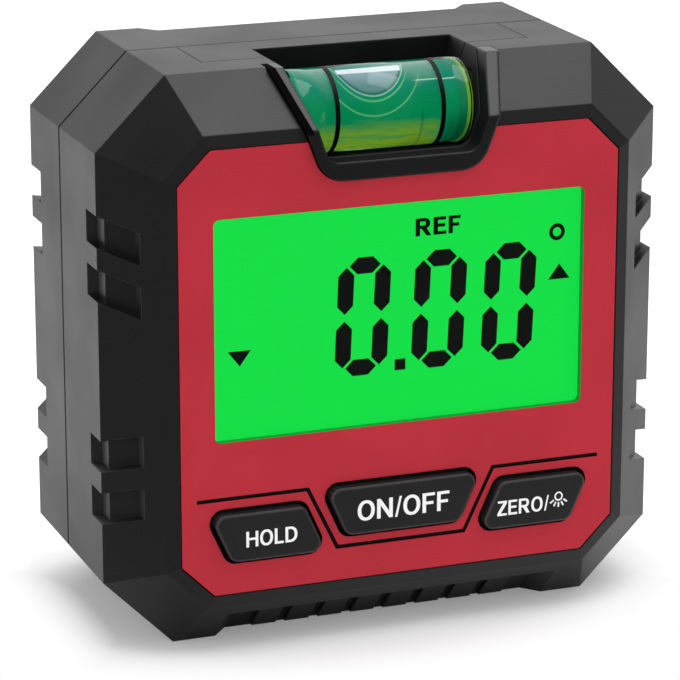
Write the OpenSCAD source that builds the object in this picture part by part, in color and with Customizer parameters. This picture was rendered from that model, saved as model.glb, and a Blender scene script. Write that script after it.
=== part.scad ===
// Digital angle gauge: a pocket instrument with a lit display, three keys,
// a spirit vial let into its top edge and magnets in its base.
// Millimetres. The front faces -Y and +Z is up.
// The origin is on the base plane, under the middle of the case.

/* [Case] */
// Width over the side faces
case_w = 58; // [57:0.5:64]
// Height from the base to the top face
case_h = 57; // [56.5:0.5:62]
// Depth from the front ridge to the back face
case_d = 31; // [30.5:0.5:36]
// Leg of the 45 degree cut on the four case corners
corner_cut = 7; // [6:0.5:8]
// Leg of the 45 degree bevel round the front
front_bevel = 5; // [4.5:0.25:5.5]
// Leg of the 45 degree bevel round the back
rear_bevel = 3.7; // [3.2:0.1:4.2]
// Depth of the front shell from its ridge to the parting line
front_d = 17; // [16.5:0.25:18]
// Wall of the two shells
wall = 2.2; // [2:0.1:2.4]
// Width of the rim between ridge and face plate
rim_w = 1.25; // [1:0.05:1.5]
// Rise of the rim above the ridge
rim_rise = 0.4; // [0.2:0.1:0.6]
// Leg of the small chamfer on both sides of the parting line
seam = 0.2; // [0.1:0.05:0.3]
// Height of the rear cover's locating lip
lip_h = 1.2; // [0.8:0.1:1.6]
// Thickness of that lip
lip_t = 0.9; // [0.7:0.1:1.1]
// Gap between fixed pieces that fit into each other
fit_gap = 0.1; // [0.05:0.05:0.15]

/* [Grip notches] */
// Height of one notch on the side face
notch_h = 3.15; // [2.6:0.05:3.4]
// Distance between the two notches of a pair
notch_pitch = 5.3; // [4.6:0.1:5.8]
// Distance of a pair from mid height
notch_offset = 11.2; // [10:0.1:12]
// Depth of a notch below the surface
notch_depth = 0.9; // [0.6:0.1:1.1]
// Length of a notch along the side face
notch_run = 3.3; // [2.5:0.1:4]
// Share of the bevel that a notch crosses
notch_cross = 0.66; // [0.5:0.02:0.8]
// Slope of a notch towards mid height
notch_slope = 20; // [10:1:25]

/* [Ribbed edges] */
// Half width of the ribbed recess at its floor
rib_recess_half = 16; // [14.5:0.5:17]
// Extra half width of the recess at its mouth
rib_recess_flare = 1.6; // [1:0.1:2]
// Depth of the recess below the bevel
rib_recess_depth = 1.3; // [1:0.1:1.4]
// Share of the bevel left plain beside the ridge
rib_recess_start = 0.3; // [0.2:0.05:0.4]
// Number of ribs in a recess
rib_count = 8; // [6:1:9]
// Distance between ribs
rib_pitch = 3.5; // [3.2:0.1:3.8]
// Width of one rib
rib_w = 2.5; // [2:0.1:2.8]
// How far the ribs stay above the base
rib_drop = 0.3; // [0.2:0.05:0.5]
// How far the ribs' faces lie behind the bevel
rib_back = 0.75; // [0.5:0.05:0.9]

/* [Face layout] */
// Width of the face plate that the widths on it are given for
layout_w = 45.5; // [45:0.1:46]
// Height of the vial tray that the levels below it are given for
layout_h = 46.15; // [45.7:0.05:46.6]
// Inner half width between the bay's walls that the battery lengths are given for
layout_bay = 25.6; // [25.4:0.05:25.8]

/* [Face plate] */
// Thickness of the red face plate
plate_t = 0.8; // [0.7:0.05:1]
// Thickness of the shell's front wall behind it
front_wall = 1.6; // [1.4:0.1:1.8]
// Width of the engraved line
line_w = 0.4; // [0.3:0.05:0.5]
// Depth of the engraved line
line_depth = 0.2; // [0.1:0.05:0.3]
// Height of the line's outer runs above the base
line_high_z = 16.1; // [15.9:0.1:16.3]
// Height of its run under the middle key
line_low_z = 9.8; // [9.4:0.1:9.9]
// Half width of the line from end to end
line_half = 21.1; // [20.5:0.1:21.5]
// Half width of the line where it turns down
line_turn_half = 9.75; // [9.6:0.05:9.9]
// Half width of its run under the middle key
line_low_half = 6.7; // [6.6:0.05:6.9]

/* [Display] */
// Width of the display that shows
view_w = 38.3; // [37.5:0.1:38.6]
// Height of the display that shows
view_h = 22.1; // [21.4:0.1:22.4]
// Height of its lower edge above the base
view_z = 21.8; // [21.6:0.1:22.1]
// Corner radius of the display opening
view_r = 0.6; // [0.3:0.1:1]
// Border of the display glass hidden behind the plate
view_margin = 1.3; // [1.1:0.1:1.4]
// Contact ledge along the lower edge of the glass
ledge_h = 2.6; // [2.4:0.1:2.7]
// Thickness of the clear window
window_t = 0.7; // [0.6:0.05:0.75]
// Thickness of one display glass sheet
glass_t = 1; // [0.8:0.05:1]
// Length of the backlight's lamp
led_l = 3.2; // [2.4:0.2:4]
// Thickness of the light guide behind the glass
guide_t = 1.3; // [1:0.1:1.5]
// Wall of the frame round glass and light guide
frame_t = 0.8; // [0.6:0.1:0.9]
// Thickness of the rubber contact strip
strip_t = 1.2; // [1:0.1:1.4]

/* [Circuit board] */
// Distance from the front wall to the board
board_gap = 3.15; // [3.1:0.05:3.4]
// Thickness of the board
board_t = 1.2; // [1:0.1:1.6]
// Distance of the board's edge from the case's side
board_inset = 3.8; // [3.6:0.1:4.2]
// Rise of the board's top edge over the display opening
board_rise = 0.2; // [0:0.05:0.3]
// Height of the two side board screws above the base
board_screw_z = 27.5; // [26.5:0.5:28.5]
// Height of the lower board screw above the base
board_low_z = 6.7; // [6.4:0.1:6.9]
// Radius of a board screw's shank
board_screw_r = 0.8; // [0.7:0.05:0.9]
// Radius of a board screw's head
board_head_r = 1.5; // [1.3:0.1:1.6]
// Height of a board screw's head
board_head_h = 1.1; // [0.8:0.1:1.3]
// Radius of a board boss
board_boss_r = 1.6; // [1.5:0.05:1.7]
// Side of the square controller
chip_side = 7; // [6:0.5:9]
// Thickness of the controller
chip_t = 1.2; // [1:0.1:1.6]
// Side of the square tilt sensor
sensor_side = 4; // [3:0.5:5]
// Thickness of the tilt sensor
sensor_t = 1; // [0.8:0.1:1.4]

/* [Keys] */
// Width of an outer key along its top edge
key_w = 9.7; // [9.3:0.1:9.9]
// Height of an outer key
key_h = 4.9; // [4.7:0.1:5]
// Height of an outer key's lower edge above the base
key_z = 9.8; // [9.7:0.05:9.9]
// Sideways lean of an outer key over its height
key_lean = 2.2; // [2:0.05:2.35]
// Distance of an outer key's inner top corner from the middle
key_start = 10.3; // [10.2:0.05:10.5]
// Half width of the middle key along its top edge
mid_key_half = 8.15; // [7.9:0.05:8.25]
// Height of the middle key
mid_key_h = 4.95; // [4.7:0.05:5.05]
// Height of the middle key's lower edge above the base
mid_key_z = 11.1; // [11:0.05:11.15]
// Corner radius of a key
key_r = 1; // [0.8:0.1:1.2]
// How far a key stands out of the plate
key_out = 0.9; // [0.7:0.1:1.2]
// Rounding of a key's front edge
key_round = 0.3; // [0.2:0.05:0.4]
// Gap between a key and its hole
key_gap = 0.4; // [0.3:0.05:0.45]
// Width of the flange that keeps a key in, beyond its face
key_flange = 0.75; // [0.65:0.05:0.8]
// Thickness of that flange
key_flange_t = 1; // [0.8:0.05:1.1]
// Travel of a key
key_travel = 0.4; // [0.2:0.05:0.45]
// Thickness of a switch body under its plunger
switch_floor = 0.4; // [0.3:0.05:0.5]
// Side of a square switch body
switch_side = 4.4; // [4:0.1:4.8]
// Radius of a switch plunger
plunger_r = 1.1; // [1:0.05:1.3]
// Clearance between moving pieces
run_gap = 0.15; // [0.1:0.05:0.2]

/* [Spirit vial] */
// Outer radius of the vial
vial_r = 4.2; // [4:0.05:4.3]
// Length of the vial
vial_l = 17.2; // [16.6:0.1:17.4]
// Distance of the vial's axis behind the front ridge
vial_back = 6.8; // [6.7:0.05:7]
// Distance of the vial's axis below the top face
vial_down = 5.05; // [5:0.05:5.1]
// Bore radius at the middle of the barrel
bore_mid_r = 3.3; // [3.1:0.05:3.4]
// Bore radius at the ends of the barrel
bore_end_r = 3.1; // [3:0.05:3.1]
// Wall at the ends of the vial
vial_end = 1.2; // [1:0.1:1.4]
// Half distance between the two black rings
ring_half = 5.45; // [5:0.05:5.7]
// Width of a ring
ring_w = 0.5; // [0.4:0.05:0.6]
// Depth of a ring in the barrel
ring_t = 0.12; // [0.1:0.02:0.2]
// Radius of the bubble
bubble_r = 1.65; // [1.4:0.05:1.7]
// Length of the bubble
bubble_l = 7; // [6:0.1:7.5]
// Sideways place of the bubble
bubble_x = -0.8; // [-1.5:0.1:1.5]

/* [Vial bezel] */
// Half width of the bezel at the top face
bezel_top_half = 11.85; // [11.7:0.05:12]
// Half width of the bezel at its lower edge
bezel_low_half = 8; // [7.9:0.05:8.1]
// Height of the bezel's lower edge above the display opening
bezel_rise = 2.8; // [2.7:0.05:2.9]
// Half width of the bezel's opening at the top face
open_top_half = 10.4; // [10.3:0.05:10.5]
// Half width of the opening at its lower edge
open_low_half = 7.6; // [7.5:0.05:7.7]
// Width of the bezel's lower bar
bezel_bar = 1.8; // [1.6:0.1:2]
// Outer corner radius of the bezel
bezel_r = 3; // [2.6:0.1:3.2]
// How far the bezel stands out
bezel_out = 0.5; // [0.3:0.1:0.6]
// Depth of the bezel, front to back
bezel_d = 2.2; // [2:0.1:2.2]

/* [Vial cradle] */
// Half width of the cradle's plate in the top face
cradle_plate_half = 17; // [16.5:0.1:17.5]
// Distance of that plate's front edge behind the ridge
cradle_plate_back = 9.2; // [9:0.1:9.6]
// Distance of the vial well's rear wall behind the ridge
well_back = 13.4; // [13:0.1:14]
// Half width of the vial well
well_half = 9.4; // [9.3:0.05:9.6]
// Wall of the cradle
cradle_t = 1.5; // [1.2:0.1:1.6]
// Depth of the trough that the vial lies in
trough_d = 0.6; // [0.4:0.1:0.9]
// Width of the flange under the top wall
cradle_flange = 1.4; // [1:0.1:1.6]

/* [Batteries] */
// Diameter of a cell
cell_d = 10.5; // [10.2:0.1:10.7]
// Length of a cell with its button
cell_l = 44.5; // [44:0.1:44.8]
// Radius of a cell's button
button_r = 1.9; // [1.7:0.1:2.2]
// Length of a cell's button
button_l = 0.9; // [0.8:0.1:1.2]
// Distance between the two cells' axes
cell_pitch = 11; // [10.9:0.1:11.3]
// Height of the battery bay's middle above the base
bay_z = 27.5; // [27:0.1:28.5]
// Inner half length of the bay
bay_half = 25.2; // [25:0.05:25.4]
// Wall of the bay
bay_t = 1.2; // [1:0.1:1.4]
// Gap between a cell and the bay round it
cell_gap = 0.3; // [0.2:0.05:0.4]
// Thickness of a contact plate
contact_t = 0.4; // [0.3:0.05:0.5]
// Width of a contact plate
contact_w = 9; // [8:0.2:9.6]
// Diameter of a contact spring's wire
spring_wire = 0.6; // [0.4:0.05:0.7]
// Outer radius of a spring where it leaves the plate
spring_wide_r = 3.4; // [3:0.1:3.8]
// Outer radius of a spring at the cell
spring_narrow_r = 2.2; // [1.8:0.1:2.6]
// Turns of a spring
spring_turns = 4; // [3:0.5:4.5]
// Radius of a battery lead
lead_r = 0.45; // [0.35:0.05:0.5]
// How far a contact plate's tail stands out of the bay
tail_out = 1; // [0.6:0.1:1.5]
// Width of a contact plate's tail
tail_w = 2; // [1.5:0.1:2.5]

/* [Battery door] */
// Thickness of the door
door_t = 1.6; // [1.4:0.1:1.8]
// Half length of the door's opening
door_half = 23.3; // [23:0.1:23.6]
// Gap round the door
door_gap = 0.25; // [0.2:0.05:0.3]
// Width of the two hooks along the door's lower edge
hook_w = 5; // [4:0.5:6]
// Length of a hook below the door's edge
hook_l = 1; // [0.8:0.1:1.2]
// Thickness of a hook
hook_t = 0.8; // [0.7:0.05:0.9]
// Distance of a hook from the middle
hook_x = 14; // [12:0.5:16]
// Width of the latch at the door's upper edge
latch_w = 9; // [8:0.5:11]
// Height of the latch's finger hollow
latch_h = 3.2; // [2.8:0.1:3.6]

/* [Fastenings and magnets] */
// Distance of a case screw from the case's side
screw_side = 8; // [7.8:0.1:8.4]
// Distance of a case screw from the base or top face
screw_end = 7.2; // [7.1:0.1:7.6]
// Radius of a case screw's shank
screw_r = 0.95; // [0.8:0.05:1]
// Radius of a case screw's head
screw_head_r = 1.65; // [1.5:0.05:1.65]
// Height of a case screw's head
screw_head_h = 1.3; // [1:0.1:1.5]
// Depth of the hole that a case screw's head sits in
screw_sink = 7; // [6:0.5:8]
// Reach of a case screw into the front shell
screw_reach = 6; // [5:0.5:7]
// Wall of a screw boss
boss_t = 1.3; // [1.1:0.05:1.4]
// Wall of a rear screw post
post_t = 1.2; // [1:0.1:1.3]
// Wall round and above a base magnet
magnet_seat_t = 0.8; // [0.6:0.1:0.9]
// Radius of a base magnet
magnet_r = 2.5; // [2:0.1:2.8]
// Thickness of a base magnet
magnet_t = 2.5; // [2:0.1:3]
// Distance of the magnets from the middle
magnet_x = 9; // [8:0.5:11]

/* [Hidden] */
$fn = 48;

black = "#2a2a2b";
over = 2;
join = 0.02;
half_bend = tan(22.5);
half_x = case_w / 2;
mid_z = case_h / 2;
half_c = (half_x + mid_z - corner_cut) / sqrt(2);
ridge_y = -case_d / 2;
back_y = case_d / 2;
part_y = ridge_y + front_d;
edge_y = ridge_y + front_bevel;
rear_edge_y = back_y - rear_bevel;
face_y = ridge_y - rim_rise;
plate_back_y = face_y + plate_t;
inner_y = plate_back_y + front_wall;
rear_inner_y = back_y - wall;
face_inset = front_bevel + rim_w;

vial_y = ridge_y + vial_back;
vial_z = case_h - vial_down;
well_floor = vial_z - vial_r - fit_gap + trough_d;
cradle_z = well_floor - trough_d - cradle_t;

// How much the layout widens and rises with the case
spread = (case_w - 2 * face_inset) / layout_w;
level = cradle_z / layout_h;
bay_spread = (half_x - wall - bay_t) / layout_bay;

view_half = spread * view_w / 2;
view_low = level * view_z;
view_high = level * (view_z + view_h);
view_mid = (view_low + view_high) / 2;
open_half = view_half + view_margin;
open_low = view_low - view_margin - ledge_h;
open_high = view_high + view_margin;
glass_y = plate_back_y + window_t + fit_gap;
glass_back_y = glass_y + 2 * glass_t;
guide_back_y = glass_back_y + fit_gap + guide_t;
board_y = inner_y + board_gap;
board_back_y = board_y + board_t;
board_top = open_high + board_rise;
board_screw_x = open_half + frame_t + board_boss_r + 2 * fit_gap;

key_flange_y = inner_y + run_gap;
key_back_y = key_flange_y + key_flange_t;
plunger_y = key_back_y + fit_gap / 2;
switch_y = key_back_y + key_travel + run_gap;
switch_well = board_y - switch_y - switch_floor;
plunger_l = switch_y + switch_well - key_travel - run_gap - plunger_y;

bezel_z = open_high + bezel_rise - view_margin;
bezel_face_y = face_y - bezel_out;
cradle_top = case_h - wall - fit_gap;
cradle_half = well_half + cradle_t;
plate_front_y = ridge_y + cradle_plate_back;
well_back_y = ridge_y + well_back;

cell_y = back_y - door_t - cell_gap - cell_d / 2;
bay_y = cell_y - cell_d / 2 - cell_gap;
bay_half_z = cell_pitch / 2 + cell_d / 2 + cell_gap;
bay_mid = level * bay_z;
bay_reach = bay_spread * bay_half;
cell_run = bay_spread * cell_l;
door_low = bay_mid - bay_half_z;
door_high = bay_mid + bay_half_z;
door_reach = bay_spread * door_half;
hook_place = bay_spread * hook_x;
contact_x = bay_reach - contact_t - fit_gap / 2;
spring_l = 2 * contact_x - cell_run - fit_gap;
tail_end_y = bay_y - bay_t - tail_out;

magnet_seat_r = magnet_r + fit_gap + magnet_seat_t;
magnet_y = lip_h + 2 * fit_gap + magnet_seat_r;
sensor_x = -2 * chip_side;

screw_places = [for (sx = [-1, 1], sz = [-1, 1])
    [sx * (half_x - screw_side), mid_z + sz * (mid_z - screw_end)]];
board_places = [
    [-board_screw_x, level * board_screw_z],
    [board_screw_x, level * board_screw_z],
    [0, level * board_low_z]];

// Key outlines, lower corners first, seen from the front
zero_outline = laid([
    [key_start - key_lean, key_z],
    [key_start - key_lean + key_w, key_z],
    [key_start + key_w, key_z + key_h],
    [key_start, key_z + key_h]]);
hold_outline = [for (i = [1, 0, 3, 2]) [-zero_outline[i][0], zero_outline[i][1]]];
power_outline = laid([
    [-mid_key_half + key_lean, mid_key_z],
    [mid_key_half - key_lean, mid_key_z],
    [mid_key_half, mid_key_z + mid_key_h],
    [-mid_key_half, mid_key_z + mid_key_h]]);

// Places of the face's layout on the case
function laid(points) = [for (p = points) [spread * p[0], level * p[1]]];

function unit(v) = v / norm(v);

function sum_of(list) = list * [for (v = list) 1];

// Middle of a key, where its switch sits
function key_place(outline) = [for (k = [0, 1]) sum_of([for (p = outline) p[k]]) / len(outline)];

// Right half of a depth profile, closed with its mirror image
function mirrored(points) = concat(points,
    [for (i = [len(points) - 1 : -1 : 0]) [-points[i][0], points[i][1]]]);

// Corner b of an outline as an arc, with its neighbours a and c
function corner(a, b, c, r) =
    let (u = unit(a - b))
    let (v = unit(c - b))
    let (half = acos(u * v) / 2)
    let (mid = b + unit(u + v) * r / sin(half))
    let (first = unit(b + u * r / tan(half) - mid))
    let (last = unit(b + v * r / tan(half) - mid))
    r == 0 ? [b] : [for (i = [0 : 6]) mid + r * unit(first * (1 - i / 6) + last * i / 6)];

function rounded(points, radii) =
    let (n = len(points))
    [for (k = [0 : n - 1])
        each corner(points[(k + n - 1) % n], points[k], points[(k + 1) % n], radii[k])];

// A convex outline moved outwards by g
function grown(points, g) =
    let (n = len(points))
    [for (k = [0 : n - 1])
        let (u = unit(points[(k + n - 1) % n] - points[k]))
        let (v = unit(points[(k + 1) % n] - points[k]))
        points[k] - unit(u + v) * g / sin(acos(u * v) / 2)];

// An open line as a band of width w, mitred at its bends
function band(route, w) =
    let (n = len(route))
    let (side = [for (k = [0 : n - 1])
        let (last = max(k, 1))
        let (next = min(k + 1, n - 1))
        let (u = unit(route[last] - route[last - 1]))
        let (v = unit(route[next] - route[next - 1]))
        let (d = unit(u + v))
        [-d[1], d[0]] * w / 2 / (d * v)])
    concat(
        [for (k = [0 : n - 1]) route[k] - side[k]],
        [for (k = [n - 1 : -1 : 0]) route[k] + side[k]]);

// Eight-sided outline of the case, moved inwards, with its corners opened by an ease
function case_outline(inset, ease = 0) =
    let (x = half_x - inset)
    let (z = mid_z - inset)
    let (c = corner_cut - inset * (2 - sqrt(2)) - ease)
    let (right = [[x - c, z], [x, z - c], [x, c - z], [x - c, -z]])
    [for (p = mirrored(right)) [p[0], p[1] + mid_z]];

// The rim's slope runs on past the plate's pocket, which cuts it off
function front_outline(h) = mirrored([
    [h - seam, part_y],
    [h, part_y - seam],
    [h, edge_y],
    [h - front_bevel, ridge_y],
    [h - front_bevel - 2 * rim_w, ridge_y - 2 * rim_rise]]);

function front_hollow(h) = mirrored([
    [h - wall, part_y + over],
    [h - wall, edge_y + wall * half_bend],
    [h - front_bevel - wall * sqrt(2) + inner_y - ridge_y, inner_y]]);

function rear_outline(h) = mirrored([
    [h - seam, part_y],
    [h, part_y + seam],
    [h, rear_edge_y],
    [h - rear_bevel, back_y]]);

function rear_hollow(h) = mirrored([
    [h - wall, part_y - lip_h - over],
    [h - wall, rear_edge_y - wall * half_bend],
    [h - rear_bevel - wall * half_bend, rear_inner_y]]);

function lip_outline(h, gap) = mirrored([
    [h - wall + lip_t + gap, part_y + over],
    [h - wall + lip_t + gap, part_y - lip_h - gap]]);

// Outline of the bezel, narrowing downwards, with round lower corners
function bezel_outline(top_half, low_half, low_z, r, gap) =
    let (slope = (top_half - low_half) / (case_h - low_z))
    let (high = case_h + over)
    rounded([
        [-low_half - gap, low_z - gap],
        [low_half + gap, low_z - gap],
        [low_half + gap + slope * (high - low_z), high],
        [-low_half - gap - slope * (high - low_z), high]],
        [r, r, 0, 0]);

function bezel_outer(gap) = bezel_outline(bezel_top_half, bezel_low_half, bezel_z, bezel_r, gap);

function bezel_opening() =
    bezel_outline(open_top_half, open_low_half, bezel_z + bezel_bar, bezel_r / 2, 0);

// Side view of the bezel: down the bevel, then down the face plate
function bezel_band(front, depth) =
    let (lean_y = edge_y - bezel_out * sqrt(2) - front)
    let (knee_y = bezel_face_y - front)
    let (knee_z = case_h - (lean_y - knee_y))
    [[lean_y, case_h], [knee_y, knee_z], [knee_y, bezel_z - over],
        [knee_y + depth, bezel_z - over], [knee_y + depth, knee_z], [lean_y + depth, case_h]];

// Inner side of the front shell's top edge, in side view, as the front of the cradle
function cradle_side() =
    let (front = inner_y + fit_gap)
    let (slack = (wall + fit_gap) * sqrt(2))
    [[front, cradle_z],
        [front, case_h - front_bevel + front - ridge_y - slack],
        [edge_y - wall - fit_gap + slack, cradle_top],
        [well_back_y + cradle_t, cradle_top],
        [well_back_y + cradle_t, cradle_z]];

// Half section of the vial's bore, swelling towards the middle
function bore_section(half_l, gap) =
    concat([[0, -half_l]],
        [for (i = [-5 : 5])
            let (t = i / 5)
            [bore_mid_r - (bore_mid_r - bore_end_r) * t * t - gap, t * half_l]],
        [[0, half_l]]);

// Points round a conical coil that starts at the plate, ring by ring
function coil_points(length, steps, sides) =
    let (r = spring_wire / 2)
    let (wide = spring_wide_r - r)
    let (narrow = spring_narrow_r - r)
    [for (i = [0 : steps], k = [0 : sides - 1])
        let (t = i / steps)
        let (turn = 360 * spring_turns * t)
        let (out = wide + (narrow - wide) * t + r * cos(360 * k / sides))
        [r + (length - 2 * r) * t + r * sin(360 * k / sides), out * cos(turn), out * sin(turn)]];

function coil_faces(steps, sides) = concat(
    [[for (k = [0 : sides - 1]) k]],
    [for (i = [0 : steps - 1], k = [0 : sides - 1])
        let (next = (k + 1) % sides)
        [i * sides + k, (i + 1) * sides + k, (i + 1) * sides + next, i * sides + next]],
    [[for (k = [sides - 1 : -1 : 0]) steps * sides + k]]);

// A front-view outline given depth from y0 to y1
module slab(y0, y1) {
    translate([0, y1, 0])
        rotate([90, 0, 0])
            linear_extrude(height = y1 - y0)
                children();
}

// A side-view outline carried across the width
module across(width) {
    rotate([90, 0, 90])
        translate([0, 0, -width / 2])
            linear_extrude(height = width)
                children();
}

// A round bar along the depth
module bar(x, z, r, y0, y1) {
    translate([x, y1, z])
        rotate([90, 0, 0])
            cylinder(r = r, h = y1 - y0);
}

// A box by its low and high corners
module box(low, high) {
    translate(low)
        cube(high - low);
}

module prism(points, turn) {
    translate([0, 0, mid_z])
        rotate([0, turn, 0])
            linear_extrude(height = 2 * (case_w + case_h), center = true)
                polygon(points);
}

// Case form: one depth profile shared by the sides, the ends and the corner facets
module eight_sided(side, end, facet) {
    intersection() {
        prism(side, 0);
        prism(end, 90);
        prism(facet, 45);
        prism(facet, -45);
    }
}

module front_form() {
    eight_sided(front_outline(half_x), front_outline(mid_z), front_outline(half_c));
}

module rear_form() {
    eight_sided(rear_outline(half_x), rear_outline(mid_z), rear_outline(half_c));
}

module rear_space() {
    eight_sided(rear_hollow(half_x), rear_hollow(mid_z), rear_hollow(half_c));
}

module lip_form(gap) {
    eight_sided(lip_outline(half_x, gap), lip_outline(mid_z, gap), lip_outline(half_c, gap));
}

// Plan of one grip notch on the right-hand front edge, for a bevel of the given leg
module notch_plan(leg) {
    reach = leg * notch_cross;
    polygon([
        [half_x + over, notch_run],
        [half_x, notch_run],
        [half_x - notch_depth, notch_run - notch_depth],
        [half_x - notch_depth, notch_depth * half_bend],
        [half_x - reach, notch_depth * sqrt(2) - reach],
        [half_x - reach, -reach - over],
        [half_x + over, -reach - over]]);
}

// The grip notches of both sides, on an edge at y = 0 whose bevel lies towards -Y
module grip_notches(leg) {
    for (side = [0, 1], level = [-1, 1], row = [-0.5, 0.5])
        mirror([side, 0, 0])
            intersection() {
                linear_extrude(height = case_h)
                    notch_plan(leg);
                translate([half_x, 0, mid_z + level * notch_offset + row * notch_pitch])
                    rotate([0, -level * notch_slope, 0])
                        cube([case_w / 2, case_d, notch_h * cos(notch_slope)], center = true);
            }
}

// The ribbed recess in a lower edge whose ridge is at the origin and whose bevel runs back and down
module ribbed_recess(leg) {
    run = leg * sqrt(2);
    flare = rib_recess_flare / rib_recess_depth;
    difference() {
        rotate([-135, 0, 0])
            translate([0, 0, run * rib_recess_start])
                linear_extrude(height = run + over)
                    polygon(mirrored([
                        [rib_recess_half, -rib_recess_depth],
                        [rib_recess_half + rib_recess_flare + flare * over, over]]));
        intersection() {
            rotate([-135, 0, 0])
                for (i = [0 : rib_count - 1])
                    translate([(i - (rib_count - 1) / 2) * rib_pitch - rib_w / 2, -2 * rib_recess_depth, 0])
                        cube([rib_w, 2 * rib_recess_depth - rib_back, 2 * run]);
            translate([-half_x, -case_d / 2, rib_drop - leg])
                cube([case_w, case_d, case_h]);
        }
    }
}

module face_line() {
    left = laid([
        [-line_half, line_high_z],
        [-line_turn_half, line_high_z],
        [-line_low_half, line_low_z]]);
    polygon(band(mirrored(left), line_w));
}

module key_outline(outline, g) {
    polygon(rounded(grown(outline, g), [for (p = outline) max(key_r + g, 0.2)]));
}

module view_outline(g) {
    points = [
        [-view_half - g, view_low - g],
        [view_half + g, view_low - g],
        [view_half + g, view_high + g],
        [-view_half - g, view_high + g]];
    polygon(rounded(points, [for (p = points) view_r]));
}

module front_bosses() {
    for (p = screw_places)
        bar(p[0], p[1], screw_r + boss_t, inner_y - fit_gap, part_y);
    for (p = board_places)
        bar(p[0], p[1], board_boss_r, inner_y - fit_gap, board_y - fit_gap / 2);
    magnet_seats(part_y - magnet_y);
}

module magnet_seats(y) {
    for (sx = [-1, 1])
        translate([sx * magnet_x, y, 0])
            cylinder(r = magnet_seat_r, h = magnet_t + 2 * fit_gap + magnet_seat_t);
}

module magnet_pockets(y) {
    for (sx = [-1, 1])
        translate([sx * magnet_x, y, -over])
            cylinder(r = magnet_r + fit_gap, h = over + magnet_t + 2 * fit_gap);
}

module vial_cuts() {
    intersection() {
        slab(ridge_y - over, part_y)
            polygon(bezel_outer(fit_gap));
        across(case_w)
            polygon(concat(bezel_band(over, over + bezel_d + fit_gap), [[edge_y + bezel_d, case_h + over],
                [ridge_y - 2 * over, case_h + over]]));
    }
    slab(ridge_y - over, plate_front_y + fit_gap)
        polygon(bezel_opening());
    along_vial(vial_l + 4 * fit_gap, vial_r + 2 * fit_gap);
    box([-cradle_plate_half, plate_front_y, case_h - wall - over],
        [cradle_plate_half, part_y + over, case_h + over]);
}

module front_shell() {
    color(black)
        difference() {
            union() {
                difference() {
                    front_form();
                    eight_sided(front_hollow(half_x), front_hollow(mid_z), front_hollow(half_c));
                    lip_form(fit_gap);
                }
                intersection() {
                    front_form();
                    front_bosses();
                }
            }
            slab(face_y - over, plate_back_y)
                polygon(case_outline(face_inset, fit_gap / 2));
            box([-open_half, face_y - over, open_low], [open_half, inner_y + over / 2, open_high]);
            for (outline = [hold_outline, power_outline, zero_outline])
                slab(face_y - over, inner_y + run_gap)
                    key_outline(outline, key_gap);
            vial_cuts();
            for (p = screw_places)
                bar(p[0], p[1], screw_r + fit_gap / 2, part_y - screw_reach - over / 2, part_y + over);
            for (p = board_places)
                bar(p[0], p[1], board_screw_r + fit_gap / 2, inner_y, board_y + over);
            magnet_pockets(part_y - magnet_y);
            translate([0, edge_y, 0])
                grip_notches(front_bevel);
            translate([0, ridge_y, front_bevel])
                ribbed_recess(front_bevel);
        }
}

module bay_block(inset) {
    box([-bay_reach - bay_t + inset, bay_y - bay_t + inset, door_low - bay_t + inset],
        [bay_reach + bay_t - inset, back_y - door_t - join, door_high + bay_t - inset]);
}

module rear_posts() {
    for (p = screw_places)
        bar(p[0], p[1], screw_head_r + fit_gap + post_t, part_y, back_y);
    magnet_seats(part_y + magnet_y);
    bay_block(0);
}

// Hook slots and the finger hollow of the battery door, cut into the rear cover
module door_seat() {
    box([-door_reach, back_y - door_t - over, door_low], [door_reach, back_y + over, door_high]);
    slot_y = back_y - door_t - hook_t - 3 * door_gap;
    slot_half = hook_w / 2 + door_gap;
    for (sx = [-1, 1])
        box([sx * hook_place - slot_half, slot_y, door_low - hook_l - 2 * door_gap],
            [sx * hook_place + slot_half, back_y - door_t + door_gap, door_low + over]);
    translate([0, back_y, door_high])
        rotate([0, 90, 0])
            cylinder(r = latch_h / 2, h = latch_w, center = true);
}

module tail_slot(z) {
    box([contact_x - fit_gap, tail_end_y - over, z - tail_w / 2 - fit_gap],
        [contact_x + contact_t + fit_gap, bay_y + over, z + tail_w / 2 + fit_gap]);
}

module rear_cover() {
    color(black)
        difference() {
            union() {
                difference() {
                    rear_form();
                    rear_space();
                }
                difference() {
                    lip_form(0);
                    rear_space();
                    box([-case_w, part_y, -over], [case_w, back_y, case_h + over]);
                    box([-cradle_plate_half - cradle_flange - fit_gap, ridge_y, mid_z],
                        [cradle_plate_half + cradle_flange + fit_gap, part_y, case_h + over]);
                }
                intersection() {
                    union() {
                        rear_form();
                        box([-bay_reach - bay_t, min(bay_y - bay_t, part_y), 0],
                            [bay_reach + bay_t, part_y + join, case_h]);
                    }
                    rear_posts();
                }
            }
            bay_block(bay_t);
            door_seat();
            for (side = [-1, 1])
                tail_slot(bay_mid + side * cell_pitch / 2);
            for (p = screw_places) {
                bar(p[0], p[1], screw_r + fit_gap, part_y - over, back_y + over);
                bar(p[0], p[1], screw_head_r + fit_gap, back_y - screw_sink, back_y + over);
            }
            magnet_pockets(part_y + magnet_y);
            translate([0, rear_edge_y, 0])
                mirror([0, 1, 0])
                    grip_notches(rear_bevel);
            translate([0, back_y, rear_bevel])
                mirror([0, 1, 0])
                    ribbed_recess(rear_bevel);
            translate([0, back_y, case_h - rear_bevel])
                mirror([0, 0, 1])
                    mirror([0, 1, 0])
                        ribbed_recess(rear_bevel);
        }
}

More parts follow.
